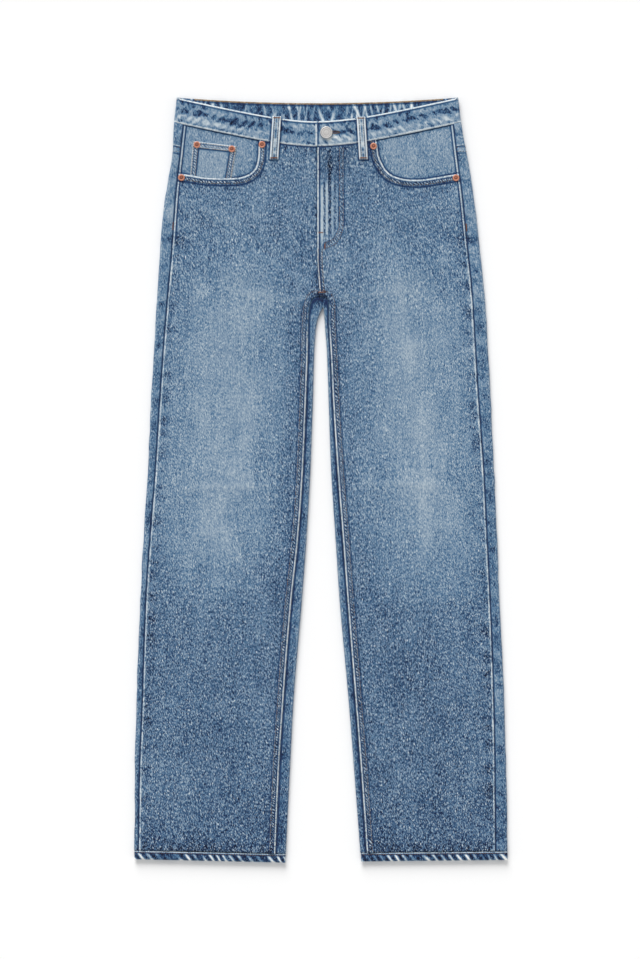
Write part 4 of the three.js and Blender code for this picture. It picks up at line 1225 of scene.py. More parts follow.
def wrapped_wash_and_shade(at, side, small, troughs):
    """How pale a wrapped panel is: worn pale on the seat and down the middle of the leg, darker in its
    troughs, with painted shadow at the crotch.
    """
    beneath = at.part == BENEATH
    tone = lerp(BACK_WASH["leg"], BACK_WASH["seat"], smooth(at.y, 60, 260))
    tone = lerp(tone, BACK_WASH["foot"], smooth(-at.y, 330, 500))
    middle = near(np.arange(at.x.shape[1]) - (UNDER_FROM + UNDER_TO) / 2, 15)
    tone += BACK_WASH["middle"] * beneath * middle * smooth(-at.y, -500, 200)
    tone += TONE_PER_MM * 1.2 * small - 0.1 * troughs + 0.03 * hills(at.x / 12, at.y / 19, 15)
    tone += BACK_WASH["inner"] * (at.part == INNER_STRIP)
    tone -= shade(np.abs(at.x), at.y, TACK_SHADE) * (at.part < BENEATH)
    # painted shadow at the crotch
    tone -= shade(at.x, at.y, CROTCH_SHADE) * ~beneath
    return tone - seam_blotches(at.y, at.outseam, 96 + side)


def wrapped_lines(at):
    """Distances from the ridges and grooves of a wrapped panel's seams."""
    centre = only((at.part == BENEATH) & (at.y > SEAT_TURN["y"]), np.abs(at.x - centre_back(at.y)))
    yoke_step = only(at.part <= BENEATH, np.abs(at.y - yoke_seam(at.x)))
    below_yoke = only(yoke_step < 30, yoke_seam(at.x) - at.y)
    ridge = [np.abs(centre - 0.7), np.abs(yoke_step - 1.5), np.abs(below_yoke - 7.4) * 1.2]
    seams = [np.abs(at.outseam - 0.2), np.abs(at.inseam - 1.9), np.abs(centre - 8.5)]
    groove = [*seams, np.abs(yoke_step - 0.3), np.abs(below_yoke - 9.2) * 1.2]
    return least(*ridge), least(*groove)


def turned_over(x, y, faces):
    """Which of some faces crowded points have turned over."""
    fall_x, fall_y = (part[1:, 1:] - part[:-1, :-1] for part in (x, y))
    climb_x, climb_y = (part[:-1, 1:] - part[1:, :-1] for part in (x, y))
    area = fall_x * climb_y - fall_y * climb_x
    return faces & (area * np.sign(np.median(area[faces])) < 0)

# %% Back panels and yokes
ROW_STEPS = {"back": 3.2, "yoke": 1.8}


def wrapped_panel(leg, kind, folds, height_at):
    at = wrapped_rows(leg, folds, height_at)
    small, troughs = bend_wrapped(at, leg.side)
    tone = wrapped_wash_and_shade(at, leg.side, small, troughs)
    ridge, groove = wrapped_lines(at)
    grain = np.where((at.part == STRIP) | (at.part == INNER_STRIP), 0.75, 1.0)
    keep = ~turned_over(at.x, at.y, (at.part == BENEATH)[:-1, :-1])
    keep[folds[:-1] > CROTCH_SIDE + 0.01, UNDER_TO - 1:] = False
    marks = {"tone": tone, "ridge": ridge, "groove": groove, "grain": grain}
    return cloth(f"{kind}_{leg.word}", at, marks, flip=leg is right, keep=keep)


def back_panel(leg):
    on_leg = even(CROTCH_SIDE, leg.low, ROW_STEPS["back"])
    folds = np.r_[even(YOKE_SIDE, CROTCH_SIDE, ROW_STEPS["back"]), on_leg[1:]]
    foot = leg.turn(np.array(CROTCH_SIDE))[1]

    def height_at(x, over, fold):
        up = (fold - CROTCH_SIDE) / (YOKE_SIDE - CROTCH_SIDE)
        return lerp(lerp(CROTCH_SIDE, foot, over**2), yoke_seam(x), up)

    return wrapped_panel(leg, "back", folds, height_at)


def yoke(leg):
    def height_at(x, over, fold):
        return lerp(yoke_seam(x), back_edge(BACK_SEAM, x), (fold - YOKE_SIDE) / (WAIST_SIDE - YOKE_SIDE))

    return wrapped_panel(leg, "yoke", even(WAIST_SIDE, YOKE_SIDE, ROW_STEPS["yoke"]), height_at)


tops += [back_panel(leg) for leg in LEGS]
tops += [yoke(leg) for leg in LEGS]

# %% [markdown]
# ## Waistband
# The waistband is a folded strip, sewn on as an open ring. It could be a curve with a profile, but its
# edges follow the waist seam, which dips in front and bows at the back, so it is one long grid: under the
# left end, round the right side, along the back, round the left side, and on to the left end on top.
# Washing has left its middle dark and its turned edges white, in slanting blotches where the strip twisted.

# %% Blotches and creases of the waistband
BAND_DEPTH = 35.8
BLOTCH_SLANT = 0.9
CREASE = {"pitch": 12.0, "width": 1.5}
CREASE_LEANS = table("lean seed", (0.18, 40), (-0.30, 44))


def band_blotches(along, down, slant):
    """Slanting dark blotches of a washed waistband, its pale ones, and its finer mottling."""
    wander = 16 + 3.0 * ridges(along / 55, 2)
    middle = teeth(along - slant * down, 14, 4) * near(down - wander, 5.4) + 0.3 * near(down - wander, 3.4)
    foot = teeth(along - 0.5 * slant * down, 11, 6) * near(BAND_DEPTH - down, 6.0)
    head = teeth(along + 0.6 * slant * down, 12, 9) * near(down - 5, 4.0)
    pale = teeth(along - slant * down + 6, 13, 20) * near(down - 26, 5.0)
    pale += 0.6 * teeth(along + slant * down + 3, 12, 23) * near(down - 8, 4.0)
    fine = hills((along - 0.7 * slant * down) / 3.2, (down + 0.3 * along) / 5.0, 10)
    dark = smooth(1.2 * middle + 0.9 * foot + 0.8 * head + 0.7 * fine, 0.24, 0.66)
    return dark, smooth(pale + 0.6 * fine, 0.25, 0.7), fine


def from_crests(phase, pitch):
    """Distance from the nearest of many crests, which lie pitch apart."""
    return np.abs(phase - np.round(phase)) * pitch


def band_creases(along, down):
    """Sharp worn creases across the inside of the back of the band, crossing here and there."""
    crests = np.zeros_like(along)
    for row in CREASE_LEANS:
        phase = (along + row["lean"] * down) / CREASE["pitch"] + 0.6 * ridges(along / 23, row["seed"])
        strength = np.clip(0.55 + 0.9 * hills(along / 15, down / 30, row["seed"] + 1), 0, 1)
        crests = np.maximum(crests, near(from_crests(phase, CREASE["pitch"]), CREASE["width"]) * strength)
    return crests

# %% Points of the waistband
BAND_ROWS = np.array([0, 0.5, 1.1, 1.9, 3.0, 4.5])  # mm from either edge, before the even rows
BAND_ROW_STEP = 1.7
BAND_COLUMNS = {"front": 156, "turn": 12, "back": 290}
END_ROUND = 2.6
FIRST_END, RIGHT_TURN, BAND_BACK, LEFT_TURN, LAST_END = range(5)  # the parts of the band, in order


def band_points():
    """The grid of the waistband, how far down each point lies, and how far along."""
    middle = even(BAND_ROWS[-1], BAND_DEPTH - BAND_ROWS[-1], BAND_ROW_STEP)[1:-1]
    down = np.r_[BAND_ROWS, middle, (BAND_DEPTH - BAND_ROWS)[::-1]][:, None]
    up = 1 - down / BAND_DEPTH
    side_y = lerp(WAIST_SIDE, FRONT_TOP["centre"] + FRONT_TOP["rise"], up)
    angles = np.linspace(0, np.pi, BAND_COLUMNS["turn"])
    half = (rise(side_y) - SEAT_LIFT) / 2
    from_x, to_x = (leg.fold_out(side_y) - leg.side * half for leg in LEGS)

    def front(x, lift):
        y = lerp(front_edge(FRONT_SEAM, x), front_edge(FRONT_TOP, x), up)
        return x, y, rise(y) + lift

    def turned(leg):
        top = rise(side_y)
        return half_turn(leg.fold_out(side_y), side_y + 0 * angles, -leg.side, 0, top, SEAT_LIFT, angles)

    share = np.linspace(0, 1, BAND_COLUMNS["front"])
    edge_gap = np.minimum(down, BAND_DEPTH - down)
    corner = END_ROUND - np.sqrt(np.maximum(0, END_ROUND**2 - np.maximum(0, END_ROUND - edge_gap) ** 2))
    back_x = lerp(from_x, to_x, np.linspace(0, 1, BAND_COLUMNS["back"])[1:-1])
    back_y = lerp(back_edge(BACK_SEAM, back_x), back_edge(BACK_TOP, back_x), up)
    left_x = lerp(to_x, BAND_END["left"] + corner, (1 - (1 - share) ** 1.15)[1:])
    at = joined([
        front(lerp(BAND_END["right"], from_x, share[:-1]), 0.0), turned(right),
        (back_x, back_y, SEAT_LIFT + 0 * back_x), [part[:, ::-1] for part in turned(left)],
        front(left_x, fly_lift(left_x, 500.0)),
    ])
    row = np.dstack([at.x, at.y, at.z])[len(down) // 2]
    at.down = down + 0 * at.x
    at.along = lengths_along(row) + 0 * at.x
    return at

# %% Waistband
SLIT = {"x": 19.0, "reach": 7.0, "y": 485.6, "half": 1.5}
# painted shade inside the buttonhole's slit
SLIT_SHADE = {"x": 19.5, "half": 7.0, "y": 485.4}
FRAYED = {"x": 18.0, "half": 4.0, "y": 479.0, "round": 1.0}
BUTTON_WEAR = {"x": 10.4, "reach": 14.0, "tone": 0.10}


def from_slot(x, y, slot):
    """Distance from a short level line."""
    return np.hypot(np.maximum(np.abs(x - slot["x"]) - slot["half"], 0), y - slot["y"])


def band_lines(at, on_top, from_end):
    """Distances from the ridges and grooves of the waistband, with the marks round its buttonhole."""
    low = BAND_DEPTH - at.down
    top_edge = only(at.part != BAND_BACK, np.abs(at.down - 0.9) * 0.85)
    frayed = np.abs(from_slot(at.x, at.y, FRAYED) - FRAYED["round"]) * 1.3
    slit = from_slot(at.x, at.y, SLIT_SHADE) * 0.8
    last = at.part == LAST_END
    ridge = [top_edge, np.abs(low - 1.5) * 0.7, np.abs(from_end - 1.1) * 0.8, only(last, frayed)]
    # painted shade: a shadow line at the band's lower edge, shade in the buttonhole's slit, and the belt
    # loops' shadows
    groove = [np.abs(at.down - 3.4), (low + 0.6) * 1.1, np.abs(from_end - 3.8), only(last, slit)]
    return least(*ridge), least(*groove, only(on_top, from_loop_shadows(at.x, at.y)))


def waistband():
    at = band_points()
    behind = at.part == BAND_BACK
    on_top = (at.part == FIRST_END) | (at.part == LAST_END)
    slant = np.where(at.part == LAST_END, -BLOTCH_SLANT, BLOTCH_SLANT)
    blotch, pale, fine = band_blotches(at.along, at.down, slant)
    creases = band_creases(at.along, at.down)
    from_end = only(at.part == LAST_END, at.x - BAND_END["left"])
    edges = edge_roll(at.down, 0.9, 1.1) + edge_roll(BAND_DEPTH - at.down, 0.45, 0.9)
    edges += edge_roll(from_end, 0.9, 1.1)
    at.z = at.z + on_top * (0.16 * fine - 0.30 * blotch + edges) + behind * (0.35 * creases - 0.2)
    inside = 0.31 + 0.56 * creases + 0.16 * hills(at.along / 4, at.down / 6, 13)
    tone = np.where(behind, inside, 0.60 - 0.41 * blotch + 0.18 * pale + 0.12 * fine)
    tone += on_top * BUTTON_WEAR["tone"] * near(at.x - BUTTON_WEAR["x"], BUTTON_WEAR["reach"])
    ridge, groove = band_lines(at, on_top, from_end)
    marks = {"tone": tone, "ridge": ridge, "groove": groove, "grain": 0.55}
    return cloth("waistband", at, marks, "edge_denim", flip=True, wall=BAND_WALL)


tops.append(waistband())

# %% [markdown]
# ## Hems
# A hem is turned up twice and sewn down, so it is a ring of three layers round the leg opening. The turned
# cloth slips along the stitches as it is sewn, and every wash rubs the slanting ropes that this leaves. The
# ropes are raised in the grid, a little unevenly spaced, and their tops are the palest denim on the
# garment.

# %% Points of a hem
HEM_ROWS = (0, 0.4, 0.9, 1.6, 2.5, 3.6, 4.8, 6.0, 7.2, 8.4, 9.4, 10.3, 11.0, 11.5, 11.9)
HEM_STEPS = {"top": 1.3, "under": 4}
HEM_TURN = 10
ROPE = {"pitch": 11.5, "width": 2.5, "lean": 0.75, "height": 0.6, "trough": 0.35}


def hem_points(leg):
    """A ring of points: the outer turn, the top, the inner turn and the underside."""
    down = np.array(HEM_ROWS)[:, None]
    outer_y, inner_y = (leg.hem[name] + HEM_DEPTH - down for name in ("outer", "inner"))
    out_x, in_x = leg.fold_out(leg.hem["outer"]), leg.fold_in(leg.hem["inner"])
    angles = np.linspace(0, np.pi, HEM_TURN)
    outer_top, inner_top = upper(out_x + 0 * down, outer_y), upper(in_x + 0 * down, inner_y)
    outer = half_turn(out_x, outer_y + 0 * angles, -leg.side, 0, outer_top, 0.0, angles[::-1])
    inner = half_turn(in_x, inner_y + 0 * angles, leg.side, 0, inner_top, 0.0, angles)
    from_x, to_x = outer[0][:, -1:], inner[0][:, :1]
    width = float(abs(to_x - from_x)[0, 0])
    across = np.linspace(0, 1, int(width / HEM_STEPS["top"]))[None, 1:-1]
    top_x, top_y = lerp(from_x, to_x, across), lerp(outer_y, inner_y, across)
    back = np.linspace(1, 0, int(width / HEM_STEPS["under"]))[None, 1:-1]
    underside = lerp(from_x, to_x, back), lerp(outer_y, inner_y, back), 0.0
    at = joined([outer, (top_x, top_y, upper(top_x, top_y)), inner, underside])
    at.down = down + 0 * at.x
    return at


def hem(leg):
    at = hem_points(leg)
    phase = (at.x - ROPE["lean"] * at.down) / ROPE["pitch"] + 0.55 * ridges(at.x / 31, 14 + leg.side)
    strength = np.clip(0.85 + 0.5 * ridges(at.x / 17, 18 + leg.side), 0.4, 1.1)
    roped = smooth(at.down, 1.2, 3.2)
    crest = near(from_crests(phase, ROPE["pitch"]), ROPE["width"]) * strength * roped
    round_edge = edge_roll(at.down, 0.6, 0.9) + edge_roll(HEM_DEPTH - at.down, 1.3, 1.3)
    at.z = at.z + (at.part == 1) * (ROPE["height"] * (crest - ROPE["trough"] * roped) + round_edge)
    tone = 0.10 + 0.80 * crest + 0.14 * hills(at.x / 5, at.down / 4, 19)
    tone += 0.28 * near(HEM_DEPTH - at.down, 1.6)
    marks = {"tone": tone, "ridge": np.abs(at.down - 0.7), "groove": np.abs(at.down - 2.3), "grain": 0.6}
    return cloth(f"hem_{leg.word}", at, marks, "edge_denim", flip=leg is left, wall=HEM_WALL, ring=True)


tops += [hem(leg) for leg in LEGS]

# %% [markdown]
# ## Pocket facings, coin pocket and fly shield
# Behind each scoop lies a facing of the same denim, one layer lower. The coin pocket is sewn onto the right
# one, and its lower end disappears under the front. The shield lies behind the fly and hardly shows.

# %% Pocket facings
FACING = {"low": 398.0, "inner": 66.0, "step": 2.0, "tone": 0.58}


def facing(leg):
    at = front_plan(leg, even(WAIST_SIDE, FACING["low"], FACING["step"]))
    keep = (at.x * leg.side > FACING["inner"])[:-1, :-1]
    scoop, _, _ = from_line(at.x, at.y, scoops[leg.word], leg.side)
    from_waist = front_edge(FRONT_SEAM, at.x) - at.y
    small = 0.28 * ripple(at.x, from_waist, 9, 8, 81 + leg.side, 0.3) + 0.12 * hills(at.x / 14, at.y / 20, 20)
    at.z = upper(at.x, at.y) - LAYER * smooth(at.outseam, 0.4, 5) + small + edge_roll(at.outseam, 0.8, 1.2)
    # painted shade: darker beside the front's scoop edge and below the waistband, with a painted shadow line
    # just past the scoop
    tone = FACING["tone"] + TONE_PER_MM * small - 0.10 * near(scoop, 7) - 0.05 * near(from_waist, 6)
    from_row = np.abs(at.outseam - 4.1)
    groove = least(at.outseam, from_row, from_waist * 0.75, np.abs(scoop + 0.9) * 0.8)
    marks = {"tone": tone, "ridge": np.abs(at.outseam - 2.1), "groove": groove, "grain": 0.9}
    return cloth(f"pocket_facing_{leg.word}", at, marks, flip=leg is left, keep=keep)


tops += [facing(leg) for leg in LEGS]

# %% Coin pocket
COIN_CORNERS = ((-178.8, 473.9), (-117.6, 466.3), (-184.2, 415), (-126.4, 415))  # outer before inner
COIN_STEP = 1.25
COIN_SIZE = {"across": 60, "down": 54}
COIN_HEM = 7.4
COIN_TOP_SCALE = 52  # mm of depth per share of the pocket that shows


def coin_place(over, down):
    """A point of the coin pocket. over is 0 at its outer side, and down is 0 at its top."""
    corners = np.array(COIN_CORNERS, float)[..., None, None]
    return lerp(lerp(corners[0], corners[1], over), lerp(corners[2], corners[3], over), down)


def coin_pocket():
    over = np.linspace(0, 1, int(COIN_SIZE["across"] / COIN_STEP))[None, :]
    down = np.linspace(0, 1, int(COIN_SIZE["down"] / COIN_STEP))[:, None]
    x, y = coin_place(over, down)
    scoop, nearest, _ = from_line(x, y, scoops["right"], -1)
    covered = scoop > -GAP
    x, y = np.where(covered, nearest[..., 0], x), np.where(covered, nearest[..., 1], y)
    keep = ~all_corners(covered)
    from_side = np.minimum(over, 1 - over) * COIN_SIZE["across"] + 0 * x
    from_top = down * COIN_TOP_SCALE + 0 * x
    hem_step = 0.35 * (1 - smooth(from_top, COIN_HEM, COIN_HEM + 1))
    small = 0.2 * ripple(y, from_side, 6, 8, 23) + 0.22 * ripple(x, from_top, 7, 7, 24)
    small += 0.1 * hills(x / 9, y / 12, 26)
    z = upper(x, y) - 0.25 + hem_step + small + edge_roll(from_side, 0.9, 1.1) + edge_roll(from_top, 0.5, 1.0)
    tone = 0.60 + TONE_PER_MM * small - 0.05 * near(from_side - 4.5, 3)
    edge = np.minimum(from_side, from_top) * 1.2
    marks = {"tone": tone, "edge": edge, "ridge": np.abs(from_top - COIN_HEM) * 1.4, "grain": 0.9}
    return cloth("coin_pocket", SimpleNamespace(x=x, y=y, z=z), marks, keep=keep)


tops.append(coin_pocket())

# %% Fly shield
SHIELD = {"left": 30.0, "right": -26.0, "bottom": 338.0, "step": 2.5, "rows": 50}


def fly_shield():
    down = np.linspace(0, 1, SHIELD["rows"])[:, None]
    x = even(SHIELD["right"], SHIELD["left"], SHIELD["step"])[None, :] + 0 * down
    y = lerp(front_edge(FRONT_SEAM, x), SHIELD["bottom"], down)
    z = upper(x, y) - LAYER - GAP + 0.1 * hills(x / 12, y / 18, 30)
    cloth("fly_shield", SimpleNamespace(x=x, y=y, z=z), {"tone": 0.47})


fly_shield()

# %% [markdown]
# ## Back pockets and belt loops
# Two patch pockets and three of the five belt loops lie under the garment. Nobody sees them in the picture,
# but the part may be turned over, so they have the same worn edges and stitches as the front. The two front
# loops stand a little off the waistband between their tacked ends.

# %% Back pockets
BACK_POCKET = {"inner": 44.0, "outer": 180.0, "top": 415.0, "side": 292.0, "point": 266.0, "tip": 5.0}
POCKET_MIDDLE = (BACK_POCKET["inner"] + BACK_POCKET["outer"]) / 2
POCKET_STEP = 2.2
POCKET_COLUMNS = 64
POCKET_HEM = 12.8


def pocket_bounds(y):
    """The inner and outer edge of a back pocket at height y, from the centre back."""
    pocket = BACK_POCKET
    taper = smooth(y, pocket["side"] - 14, pocket["side"] + 14)
    corner = 1.2 * taper * (1 - taper) * 4
    point = np.clip((pocket["side"] - y) / (pocket["side"] - pocket["point"]), 0, 1)
    up = np.clip((y - pocket["side"]) / (pocket["top"] - pocket["side"]), 0, 1)
    inner = lerp(pocket["inner"], POCKET_MIDDLE - pocket["tip"], point) + 4 * up + corner
    outer = lerp(pocket["outer"], POCKET_MIDDLE + pocket["tip"], point) - 2 * up - corner
    return inner, outer


def back_pocket(leg):
    y = even(BACK_POCKET["top"], BACK_POCKET["point"], POCKET_STEP)[:, None]
    inner, outer = pocket_bounds(y)
    x = lerp(inner, outer, np.linspace(0, 1, POCKET_COLUMNS)[None, :])
    y = y + 0 * x
    from_point = np.maximum(0, y - (BACK_POCKET["point"] + 26 * np.abs(x - POCKET_MIDDLE) / 68))
    from_side = least(x - inner, outer - x, from_point)
    from_top = BACK_POCKET["top"] - y
    from_edge = np.minimum(from_side, from_top)
    small = 0.18 * hills(x / 15, y / 18, 27 + leg.side)
    z = np.maximum(0, small) * smooth(from_edge, 2, 12) + 0.45 * near(from_edge, 1.2)
    tone = 0.52 + 0.12 * near(from_side - 4.5, 5) * hills(x / 6, y / 6, 28) - 0.2 * z
    tone += 0.05 * near(y - 380, 50) * near(x - POCKET_MIDDLE, 45)
    marks = {"tone": tone, "edge": from_edge * 1.1, "ridge": np.abs(from_top - POCKET_HEM), "grain": 0.95}
    at = SimpleNamespace(x=x * leg.side, y=y, z=z)
    return cloth(f"back_pocket_{leg.word}", at, marks, flip=leg is left)


bottoms = [back_pocket(leg) for leg in LEGS]

# %% Belt loops
LOOP_COLUMNS = np.array([-6, -5.6, -5, -4.2, -3.2, -2, -1, 0, 1, 2, 3.2, 4.2, 5, 5.6, 6.0])
LOOP_STEP = 1.2
SLACK = 0.7
BACK_LOOPS = {"right": -112.0, "centre": CENTRE_BACK_X, "left": 108.0}
LOOP_OVER = -0.6
LOOP_BELOW = 14.0


def belt_loop(name, top, foot, on_top):
    """A folded strip with its two worn edges, from its top end to its foot."""
    over = LOOP_COLUMNS[None, :]
    length = abs(top[1] - foot[1])
    down = even(0, 1, LOOP_STEP / length)[:, None]
    centre_x = lerp(top[0], foot[0], down)
    x, y = centre_x + over, lerp(top[1], foot[1], down) + 0 * over
    from_side = LOOP_COLUMNS[-1] - np.abs(over) + 0 * x
    from_foot = (1 - down) * length + 0 * x
    small = 0.16 * hills(y / 3.4, over / 3 + 0 * y, len(name)) - 0.28 * near(over, 1.5)
    small = small + edge_roll(from_side, 0.8, 0.8) + edge_roll(from_foot, 0.6, 1.2)
    if on_top:
        z = upper(centre_x + 0 * x, y) + GAP * 1.5 + LOOP_WALL + SLACK * np.sin(np.pi * down) ** 0.7 + small
    else:
        z = np.maximum(0.0, -small)
    dashes = np.clip(0.5 + 1.3 * ridges(y / 4.4, 6), 0, 1)
    tone = 0.78 + 0.12 * hills(y / 4.2, over / 5 + 0 * y, len(name) + 3) - 0.42 * near(over, 1.3) * dashes
    marks = {"tone": tone, "ridge": np.abs(from_side - 0.9), "groove": np.abs(from_side - 2.7) * 2.2}
    marks["grain"] = 0.6
    at = SimpleNamespace(x=x, y=y, z=z)
    return cloth(name, at, marks, "edge_denim", flip=not on_top, wall=LOOP_WALL - 0.2)


def back_loop_ends(x):
    """Where the belt loop at x starts and ends on the back."""
    return float(back_edge(BACK_TOP, x)), float(back_edge(BACK_SEAM, x)) - LOOP_BELOW


front_loops = []
for loop in FRONT_LOOPS:
    top, foot = (loop["top_x"], loop["top_y"]), (loop["foot_x"], loop["foot_y"])
    front_loops.append(belt_loop(loop["name"], top, foot, True))
back_loops = []
for name, x in BACK_LOOPS.items():
    high, low = back_loop_ends(x)
    back_loops.append(belt_loop(f"belt_loop_back_{name}", (x, high + LOOP_OVER), (x, low), False))

# %% [markdown]
# ## Button and rivets
# A shank button is a pressed cap on a short stem, and a rivet is a small turned head with a burr in its
# middle. Both are bodies of revolution, so a lathe draws them: a profile of radius and height, turned round
# the axis. The button is made at its place. The six rivets share one head, and Geometry Nodes set it on six
# points of the cloth, turned the way that the cloth faces there.

# %% Lathe
BUTTON_SIDES = 64
RIVET_SIDES = 28


def lathe(name, profile, sides):
    """A turned mesh from rows of radius, height and tone, which run from the lower end to the upper one."""
    points, tones, rings = [], [], []
    for radius, height, tone in profile:
        turns = np.arange(sides if radius else 1) * 2 * np.pi / sides
        rings.append([len(points) + i for i in range(len(turns))])
        points += [(radius * np.cos(turn) * MM, radius * np.sin(turn) * MM, height * MM) for turn in turns]
        tones += [tone] * len(turns)
    faces = []
    for low, high in zip(rings[:-1], rings[1:]):
        for i in range(sides):
            corners = [(low, i), (low, i + 1), (high, i + 1), (high, i)]
            faces.append(list(dict.fromkeys(ring[at % len(ring)] for ring, at in corners)))
    mesh = bpy.data.meshes.new(name)
    mesh.from_pydata(points, [], faces)
    mesh.attributes.new("tone", "FLOAT", "POINT").data.foreach_set("value", tones)
    return mesh

# %% Button
button_low, button_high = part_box("button")
button_top = button_high[2] / MM
button_depth = button_top - button_low[2] / MM
BUTTON_PROFILE = [  # radius, depth below the top, tone
    (0.0, button_depth, 0.3), (3.4, button_depth, 0.3), (3.4, 2.5, 0.2), (7.6, 2.4, 0.3), (8.3, 2.0, 0.6),
    (8.5, 1.4, 0.8), (8.4, 0.8, 1.0), (8.0, 0.35, 1.0), (7.5, 0.22, 1.0), (7.0, 0.3, 0.7), (6.7, 0.46, 0.25),
    (6.3, 0.42, 0.6), (5.6, 0.34, 0.9), (4.4, 0.3, 0.85), (4.0, 0.42, 0.3), (3.6, 0.36, 0.7),
    (2.2, 0.26, 0.9), (0.0, 0.22, 0.8),
]

turned_rows = [(radius, button_top - depth, tone) for radius, depth, tone in BUTTON_PROFILE]
button_mesh = lathe("button_cap", turned_rows, BUTTON_SIDES)
button_mesh.transform(Matrix.Translation((BUTTON["x"] * MM, BUTTON["y"] * MM, 0.0)))
keep_in_scene("button_cap", button_mesh, nickel, ["button"])
print("button:", len(button_mesh.polygons), "faces, top at", round(button_top, 2), "mm")

# %% Plumb lines to the cloth
PLUMB_FROM = 100.0
FROM_ABOVE, FROM_BELOW = 1.0, -1.0


def skins(pieces, side=FROM_ABOVE):
    """Surfaces of finished pieces, and the side from which plumb lines reach them."""
    depsgraph = bpy.context.evaluated_depsgraph_get()
    return side, [BVHTree.FromObject(piece, depsgraph) for piece in pieces]


def plumb(surfaces, x, y):
    """Where a plumb line through (x, y) first meets a surface (in metres), and which way that faces."""
    side, trees = surfaces
    start = Vector((x * MM, y * MM, side * PLUMB_FROM * MM))
    hits = [tree.ray_cast(start, Vector((0.0, 0.0, -side))) for tree in trees]
    hits = [hit for hit in hits if hit[0] is not None]
    if not hits:
        return None
    place, normal, _, _ = min(hits, key=lambda hit: hit[3])
    return place, normal if normal.z * side > 0 else -normal


top_skins = skins(tops)
front_loop_skins = skins(front_loops)
under_skins = skins(tops + bottoms, FROM_BELOW)
back_loop_skins = skins(back_loops, FROM_BELOW)
print("surfaces above and below:", len(tops), len(tops + bottoms))

# %% What a geometry tree needs
def new_tree(name, kinds):
    """A geometry tree whose inputs are given as names and socket kinds, its nodes and those inputs."""
    tree = bpy.data.node_groups.new(name, "GeometryNodeTree")
    nodes = Nodes(tree)
    for socket, kind in kinds.items():
        tree.interface.new_socket(socket, in_out="INPUT", socket_type=f"NodeSocket{kind}")
    tree.interface.new_socket("Made", in_out="OUTPUT", socket_type="NodeSocketGeometry")
    outputs = tree.nodes.new("NodeGroupInput").outputs
    return tree, nodes, {socket: Value(nodes, outputs[socket]) for socket in kinds}


def up_of(nodes):
    """The way that the cloth faces under a point, which the mesh brings with it."""
    return nodes.node("GeometryNodeInputNamedAttribute", {"data_type": "FLOAT_VECTOR"}, {"Name": "up"})


def chance(nodes, low, high, seed):
    """A random number for each point."""
    span = {2: low, 3: high, "Seed": seed}
    return nodes.node("FunctionNodeRandomValue", {"data_type": "FLOAT"}, span, out=1)


def turned_by(nodes, rotation, angle):
    """A rotation, turned further round its own upright axis."""
    turn = nodes.node("FunctionNodeAxisAngleToRotation", {}, {"Angle": angle})
    both = {"Rotation": rotation, "Rotate By": turn}
    return nodes.node("FunctionNodeRotateRotation", {"rotation_space": "LOCAL"}, both)


def finish_tree(nodes, sockets, finish):
    """Sets instances on points, makes them real and dresses them."""
    instances = nodes.node("GeometryNodeInstanceOnPoints", {}, sockets)
    real = nodes.node("GeometryNodeRealizeInstances", {}, {"Geometry": instances})
    dressed = nodes.node("GeometryNodeSetMaterial", {}, {"Geometry": real, "Material": finish})
    nodes.node("NodeGroupOutput", {}, {"Made": dressed})


def points_with_up(name, places, ups, edges=()):
    """A mesh of points, and lines where there are edges, that know which way is up."""
    mesh = bpy.data.meshes.new(name)
    mesh.from_pydata(places, edges, [])
    mesh.attributes.new("up", "FLOAT_VECTOR", "POINT").data.foreach_set("vector", np.ravel(ups))
    return mesh


def grow(name, tree, mesh, inputs, finish, replaced=()):
    """What a tree makes of a mesh, kept as a plain piece. The mesh only carries the tree."""
    carrier = add_to_scene(f"{name}_carrier", mesh)
    modifier = carrier.modifiers.new("made", "NODES")
    modifier.node_group = tree
    sockets = {item.name: item.identifier for item in tree.interface.items_tree if item.in_out == "INPUT"}
    for socket, value in {**inputs, "Finish": finish}.items():
        modifier[sockets[socket]] = value
    evaluated = carrier.evaluated_get(bpy.context.evaluated_depsgraph_get())
    made = bpy.data.meshes.new_from_object(evaluated)
    made.name = name
    carrier.modifiers.remove(modifier)
    bpy.data.objects.remove(carrier)
    keep_in_scene(name, made, finish, replaced)
    print(f"{name}: {len(made.polygons)} faces")

# %% Rivets
RIVETS = table(
    "node x y",
    ("rivet_right_front", -82.4, 468.6),
    ("rivet_right_side", -195.0, 422.6),
    ("rivet_coin_outer", -173.4, 468.4),
    ("rivet_coin_inner", -124.6, 462.6),
    ("rivet_left_front", 73.4, 466.4),
    ("rivet_left_side", 188.6, 422.2),
)
RIVET_PROFILE = [  # radius, height, tone
    (0.0, -0.6, 0.2), (4.3, -0.6, 0.2), (4.6, 0.1, 0.7), (4.7, 0.5, 1.0), (4.5, 0.9, 1.0),
    (4.0, 1.15, 1.0), (3.2, 1.2, 0.95), (2.7, 1.0, 0.55), (2.2, 0.75, 0.2), (1.7, 0.7, 0.1),
    (1.4, 0.95, 0.25), (1.0, 1.25, 0.45), (0.5, 1.35, 0.35), (0.0, 1.3, 0.3),
]
PROBE = 3.0
PROBES = ((0, 0), (PROBE, 0), (-PROBE, 0), (0, PROBE), (0, -PROBE))
RIVET_STEADY = 4.0  # how much plain upright counts beside the five plumb lines


